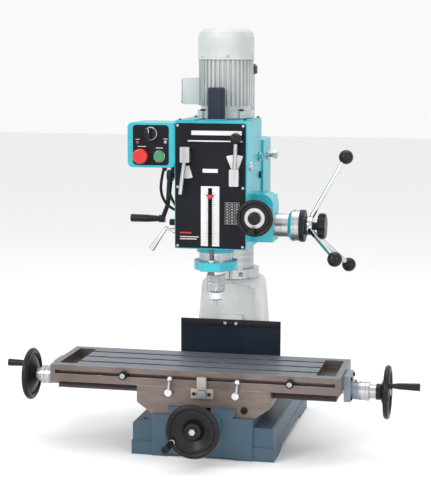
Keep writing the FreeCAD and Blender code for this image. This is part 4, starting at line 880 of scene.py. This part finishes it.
@dataclass
class FeedHub:
    """The rings and marks of the quill feed hub and the fine feed dial."""

    y: float = -0.070
    z: float = 0.611

    def build(self) -> None:
        """Makes the dark ring, the teal edge and the graduations."""
        make = Maker("feed")
        centre = [(0.0, self.y, self.z)]
        ring = [(0.0441, 0.2268), (0.0447, 0.2275), (0.0447, 0.2395), (0.0435, 0.2405), (0.0262, 0.2405)]
        make.lathe("hub_dark_ring", Axis.X, centre, ring, BLACKED, steps=72)
        edge = [(0.0331, 0.1955), (0.0400, 0.2010), (0.0431, 0.2040), (0.0431, 0.2065)]
        make.lathe("hub_teal_edge", Axis.X, centre, edge, TEAL, steps=72)
        make.ring_marks("hub_marks", Axis.X, (0.0, self.y, self.z), 0.0431, 0.2085, 0.2165, 60)
        cap = [(0.0262, 0.2400), (0.0268, 0.2410), (0.0268, 0.2600), (0.0245, 0.2626), (0.0112, 0.2626)]
        make.lathe("hub_chrome_cap", Axis.X, centre, cap, CHROME, steps=72)
        wheel = Maker("fine_wheel")
        across, height = 0.131, 0.650
        dial = (across, -0.2398, height)
        sleeve = [(0.0221, 0.0), (0.0231, 0.0004), (0.0231, 0.0112), (0.0221, 0.0117)]
        wheel.lathe("fine_dial", Axis.Y, [dial], sleeve, SILVER, steps=64)
        wheel.ring_marks("fine_marks", Axis.Y, dial, 0.0231, 0.003, 0.009, 50)
        ring = [(0.0171, 0.0), (0.0171, -0.0008), (0.0270, -0.0008), (0.0281, 0.0003), (0.0283, 0.0020),
                (0.0281, 0.0030)]
        wheel.lathe("fine_ring", Axis.Y, [(across, -0.253, height)], ring, SILVER, steps=64)
        face = [(0.0171, 0.0), (0.0176, -0.0015), (0.0168, -0.0098), (0.0120, -0.0118), (0.0, -0.0122)]
        wheel.lathe("fine_centre", Axis.Y, [(across, -0.252, height)], face, BLACK, steps=48)
        knob = [(0.0042, 0.0), (0.0069, 0.0005), (0.0095, -0.0125), (0.0078, -0.0150), (0.0, -0.0156)]
        spinner = (across - 0.005, -0.2635, height - 0.033)
        wheel.lathe("fine_knob", Axis.Y, [spinner], knob, BLACK, steps=28)


@dataclass
class HeadTrim:
    """Plugs, nuts and screws on the head and its sleeve."""

    def build(self) -> None:
        """Makes the oil sight, plug, lid, shaft washer, depth pointer, spring cap and knob."""
        make = Maker("head")
        sight = [(0.0, 0.0022), (0.0075, 0.0018), (0.0085, 0.0040), (0.0115, 0.0045), (0.0125, 0.0030),
                 (0.0125, -0.0005)]
        make.lathe("oil_sight", Axis.X, [(0.100, -0.150, 0.780)], sight, SILVER, steps=40)
        plug = [(0.0, 0.0060), (0.0090, 0.0060), (0.0100, 0.0050), (0.0100, -0.0005)]
        make.lathe("drain_plug", Axis.X, [(0.100, -0.010, 0.745)], plug, BLACKED, steps=6)
        make.slabs("head_lid", [((-0.0965, -0.1985, 0.9028), (-0.0440, 0.0165, 0.9052)),
                                ((0.0860, -0.1985, 0.9028), (0.0965, 0.0165, 0.9052))], TEAL, edge=0.0008)
        spots = [(x, y, 0.9052) for x in (-0.088, 0.0912) for y in (-0.185, 0.008)]
        make.screws("lid_screws", Axis.Z, spots, 0.0042, BLACKED, outward=1)
        washer = [(0.0081, 0.0), (0.0128, 0.0), (0.0130, 0.0026), (0.0081, 0.0030)]
        make.lathe("shaft_washer", Axis.X, [(0.103, -0.022, 0.797)], washer, SILVER, steps=40)
        quill = Maker("quill")
        nut = [(0.0048, 0.0), (0.0098, 0.0), (0.0102, 0.001), (0.0102, 0.006), (0.0098, 0.007),
               (0.0048, 0.007)]
        quill.lathe("depth_rod_nut", Axis.Z, [(0.0, -0.188, 0.517)], nut, SILVER, steps=24)
        rod_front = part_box("depth_rod")[0].y
        arrow = [(-0.0085, 0.7052), (0.0085, 0.7052), (0.0085, 0.7016), (0.0, 0.6925), (-0.0085, 0.7016)]
        quill.outline_plate("depth_pointer", arrow, rod_front - 0.0010, rod_front + 0.0002, RED_INK)
        tip = [(0.0086, 0.0), (0.0092, -0.001), (0.0092, -0.024), (0.0078, -0.0258), (0.0, -0.0262)]
        make.lathe("spring_cap", Axis.X, [(-0.1195, -0.070, 0.611)], tip, BLACK, steps=32)
        handle = Maker("selector_right")
        centre = (0.073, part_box("selector_right")[0].y + 0.0150, 0.858)
        profile = [(0.0, -0.0154)]
        for step in range(1, 12):
            angle = math.pi * step / 12
            profile.append((0.01535 * math.sin(angle), -0.01535 * math.cos(angle)))
        profile.append((0.0, 0.0154))
        handle.lathe("selector_knob", Axis.Y, [centre], profile, BLACK, steps=40)


@dataclass
class SaddleTrim:
    """Gib screws, the stop block and its screws, and the stops' socket screws."""

    def build(self) -> None:
        """Makes the saddle's small parts."""
        make = Maker("saddle")
        low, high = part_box("saddle")
        make.screws("gib_bolt", Axis.Y, [(0.114, low.y, 0.136)], 0.0095, BLACKED)
        for side, x, outward in (("right", high.x, 1), ("left", low.x, -1)):
            row = [(x, y, 0.168) for y in (-0.250, -0.180, -0.110)]
            make.screws(f"gib_screws_{side}", Axis.X, row, 0.0055, BLACKED, outward=outward)
        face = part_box("stop_bracket")[0].y
        make.slabs("stop_block", [((-0.0105, face - 0.0040, 0.1690), (0.0105, face + 0.0005, 0.1885))],
                   BRACKET_STEEL, edge=0.0006)
        make.screws("stop_screws", Axis.Y, [(x, face, 0.179) for x in (-0.021, 0.021)], 0.0048, BLACKED)
        for body, x in (("stop_left", -0.2195), ("stop_right", 0.2377)):
            stop = Maker(body)
            stop.screws(f"{body}_socket", Axis.Y, [(x, -0.3088, 0.217)], 0.0070, SILVER)


@dataclass
class WayCover:
    """The rubber sheet that hangs from the pedestal and runs under the table, with its clamp strip."""

    centre: float = 0.009
    half: float = 0.1475
    middle_y: float = 0.036
    top: float = 0.3175
    floor: float = 0.1695
    bend: float = 0.0245
    foot: float = -0.0622
    thick: float = 0.0026

    def section(self) -> list[Pair]:
        """The sheet's section as a row of evenly spaced (y, z) points.

        Returns:
            The points from the pedestal to the saddle.
        """
        turn_y = self.middle_y - self.bend
        turn_z = self.floor + self.bend
        drop = [(self.middle_y, self.top + (turn_z - self.top) * k / 12) for k in range(12)]
        arc = [(turn_y + self.bend * math.cos(math.radians(9 * k)),
                turn_z - self.bend * math.sin(math.radians(9 * k))) for k in range(11)]
        run = [(turn_y + (self.foot - turn_y) * k / 12, self.floor) for k in range(1, 13)]
        return drop + arc + run

    def build(self) -> None:
        """Makes the sheet, the strip and its two screws."""
        columns = 30
        section = self.section()
        shape = bmesh.new()
        grid = []
        for row, (y, z) in enumerate(section):
            line = []
            for column in range(columns + 1):
                across = column / columns * 2 - 1
                swell = 0.0004 * math.sin(math.pi * row / len(section))
                ripple = swell * math.sin(across * 9 + row * 0.35)
                line.append(shape.verts.new((self.centre + across * self.half, y + ripple, z)))
            grid.append(line)
        for row in range(len(section) - 1):
            for column in range(columns):
                shape.faces.new((grid[row][column], grid[row][column + 1],
                                 grid[row + 1][column + 1], grid[row + 1][column]))
        mesh = bpy.data.meshes.new("way_cover_sheet")
        bmesh.ops.recalc_face_normals(shape, faces=shape.faces)
        for face in shape.faces:
            face.smooth = True
        shape.to_mesh(mesh)
        shape.free()
        sheet = add_object("way_cover_sheet", mesh)
        thick = sheet.modifiers.new("thickness", "SOLIDIFY")
        thick.thickness = self.thick
        thick.offset = 0
        mesh.materials.append(RUBBER.material())
        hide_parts("way_cover")
        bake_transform(sheet)
        make = Maker("frame")
        front = self.middle_y - self.thick / 2
        strip = [((self.centre - self.half + 0.002, front - 0.0028, 0.2990),
                  (self.centre + self.half - 0.002, front + 0.0002, 0.3165))]
        make.slabs("cover_strip", strip, BLACKED, edge=0.0006)
        spots = [(x, front - 0.0028, 0.3075) for x in (-0.006, 0.026)]
        make.screws("cover_screws", Axis.Y, spots, 0.0048, SILVER)


@dataclass
class Cables:
    """The two short cables that loop from the switch box into the head."""

    diameter: float = 0.008
    routes: tuple[tuple[Point, ...], ...] = (
        ((-0.146, -0.128, 0.7736), (-0.158, -0.127, 0.730), (-0.156, -0.124, 0.688),
         (-0.133, -0.120, 0.655), (-0.1015, -0.118, 0.646)),
        ((-0.121, -0.128, 0.7736), (-0.131, -0.128, 0.740), (-0.134, -0.126, 0.704),
         (-0.122, -0.123, 0.671), (-0.1034, -0.120, 0.650)),
    )

    def build(self) -> None:
        """Makes each cable as one smooth curve."""
        for number, route in enumerate(self.routes, start=1):
            curve = bpy.data.curves.new(f"cable_{number}", "CURVE")
            curve.dimensions = "3D"
            curve.bevel_depth = self.diameter / 2
            curve.bevel_resolution = 5
            curve.use_fill_caps = True
            spline = curve.splines.new("NURBS")
            spline.points.add(len(route) - 1)
            for spot, place in zip(spline.points, route):
                spot.co = (*place, 1.0)
            spline.order_u = 3
            spline.use_endpoint_u = True
            spline.resolution_u = 16
            made = add_object(f"cable_{number}", curve)
            curve.materials.append(CABLE.material())
            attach(made, "head")
            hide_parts("motor_cables")
            LOG.info("piece cable_%d on head", number)
        make = Maker("head")
        ends = [(-0.100, route[-1][1], route[-1][2]) for route in self.routes]
        bush = [(0.0042, -0.0002), (0.0078, 0.0), (0.0082, -0.004), (0.0060, -0.009), (0.0042, -0.010)]
        make.lathe("cable_bushes", Axis.X, ends, bush, BLACK, steps=24)


# ---------------------------------------------------------------- studio
@dataclass
class Studio:
    """The camera, lights, floor and background."""

    eye: Point = (0.7988, -3.8651, 1.0883)
    aim: Point = (-0.0012, -0.128, 0.5439)
    roll: float = 0.144
    lens: float = 100.4
    floor_half: float = 14.0

    def camera(self) -> None:
        """Stands the camera where the picture is taken from."""
        data = bpy.data.cameras.new("camera")
        data.lens = self.lens
        data.sensor_width = 36.0
        data.clip_end = 100.0
        made = add_object("camera", data)
        look = (Vector(self.aim) - Vector(self.eye)).to_track_quat("-Z", "Y").to_matrix().to_4x4()
        roll = Matrix.Rotation(math.radians(self.roll), 4, "Z")
        made.matrix_world = Matrix.Translation(self.eye) @ look @ roll
        bpy.context.scene.camera = made

    def light(self, name: str, place: Point, size: float, power: float) -> None:
        """One soft panel that faces the machine.

        Args:
            name: the light's name.
            place: where it hangs.
            size: its side.
            power: its watts.
        """
        data = bpy.data.lights.new(name, "AREA")
        data.size = size
        data.energy = power
        made = add_object(name, data)
        made.location = place
        aim = Vector((0, -0.05, 0.5)) - Vector(place)
        made.rotation_euler = aim.to_track_quat("-Z", "Y").to_euler()

    def build(self) -> None:
        """Makes the whole studio."""
        self.camera()
        self.light("key", (-1.9, -2.8, 2.3), 1.6, 54)
        self.light("fill", (2.4, -2.3, 1.5), 1.8, 26)
        self.light("top", (0.2, 0.4, 3.0), 2.2, 32)
        self.light("low_front", (0.2, -3.4, 0.45), 1.6, 9)
        world = bpy.data.worlds.new("studio")
        bpy.context.scene.world = world
        world.use_nodes = True
        world.node_tree.nodes["Background"].inputs["Color"].default_value = (1, 1, 1, 1)
        world.node_tree.nodes["Background"].inputs["Strength"].default_value = 0.95
        mesh = bpy.data.meshes.new("floor")
        reach = self.floor_half
        mesh.from_pydata([(-reach, -reach, 0), (reach, -reach, 0), (reach, reach, 0), (-reach, reach, 0)],
                         [], [(0, 1, 2, 3)])
        floor = add_object("floor", mesh)
        mesh.materials.append(FLOOR.material())
        bpy.context.scene.view_settings.view_transform = "Standard"


def dress_frame(nodes: dict[str, Piece]) -> None:
    """Gives every CAD node its finish.

    Args:
        nodes: the CAD nodes by name.
    """
    for name, made in nodes.items():
        finish = NODE_FINISHES[name]
        made.data.materials.clear()
        made.data.materials.append(finish.material())
        LOG.info("dressed %s in %s", name, finish.name)


def main() -> None:
    """Builds the studio and every sub-assembly, in order."""
    logging.basicConfig(level=logging.INFO, format="%(name)s: %(message)s")
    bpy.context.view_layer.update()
    Studio().build()
    Cables().build()
    WayCover().build()
    dress_frame(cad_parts)
    for made in (FrontPanel, ControlPanel, MotorTrim, Dials, FeedHub, HeadTrim, SaddleTrim):
        assembly = made()
        assembly.build()
        LOG.info("finished %s", type(assembly).__name__)
    bpy.context.view_layer.update()


if __name__ == "__main__":
    main()
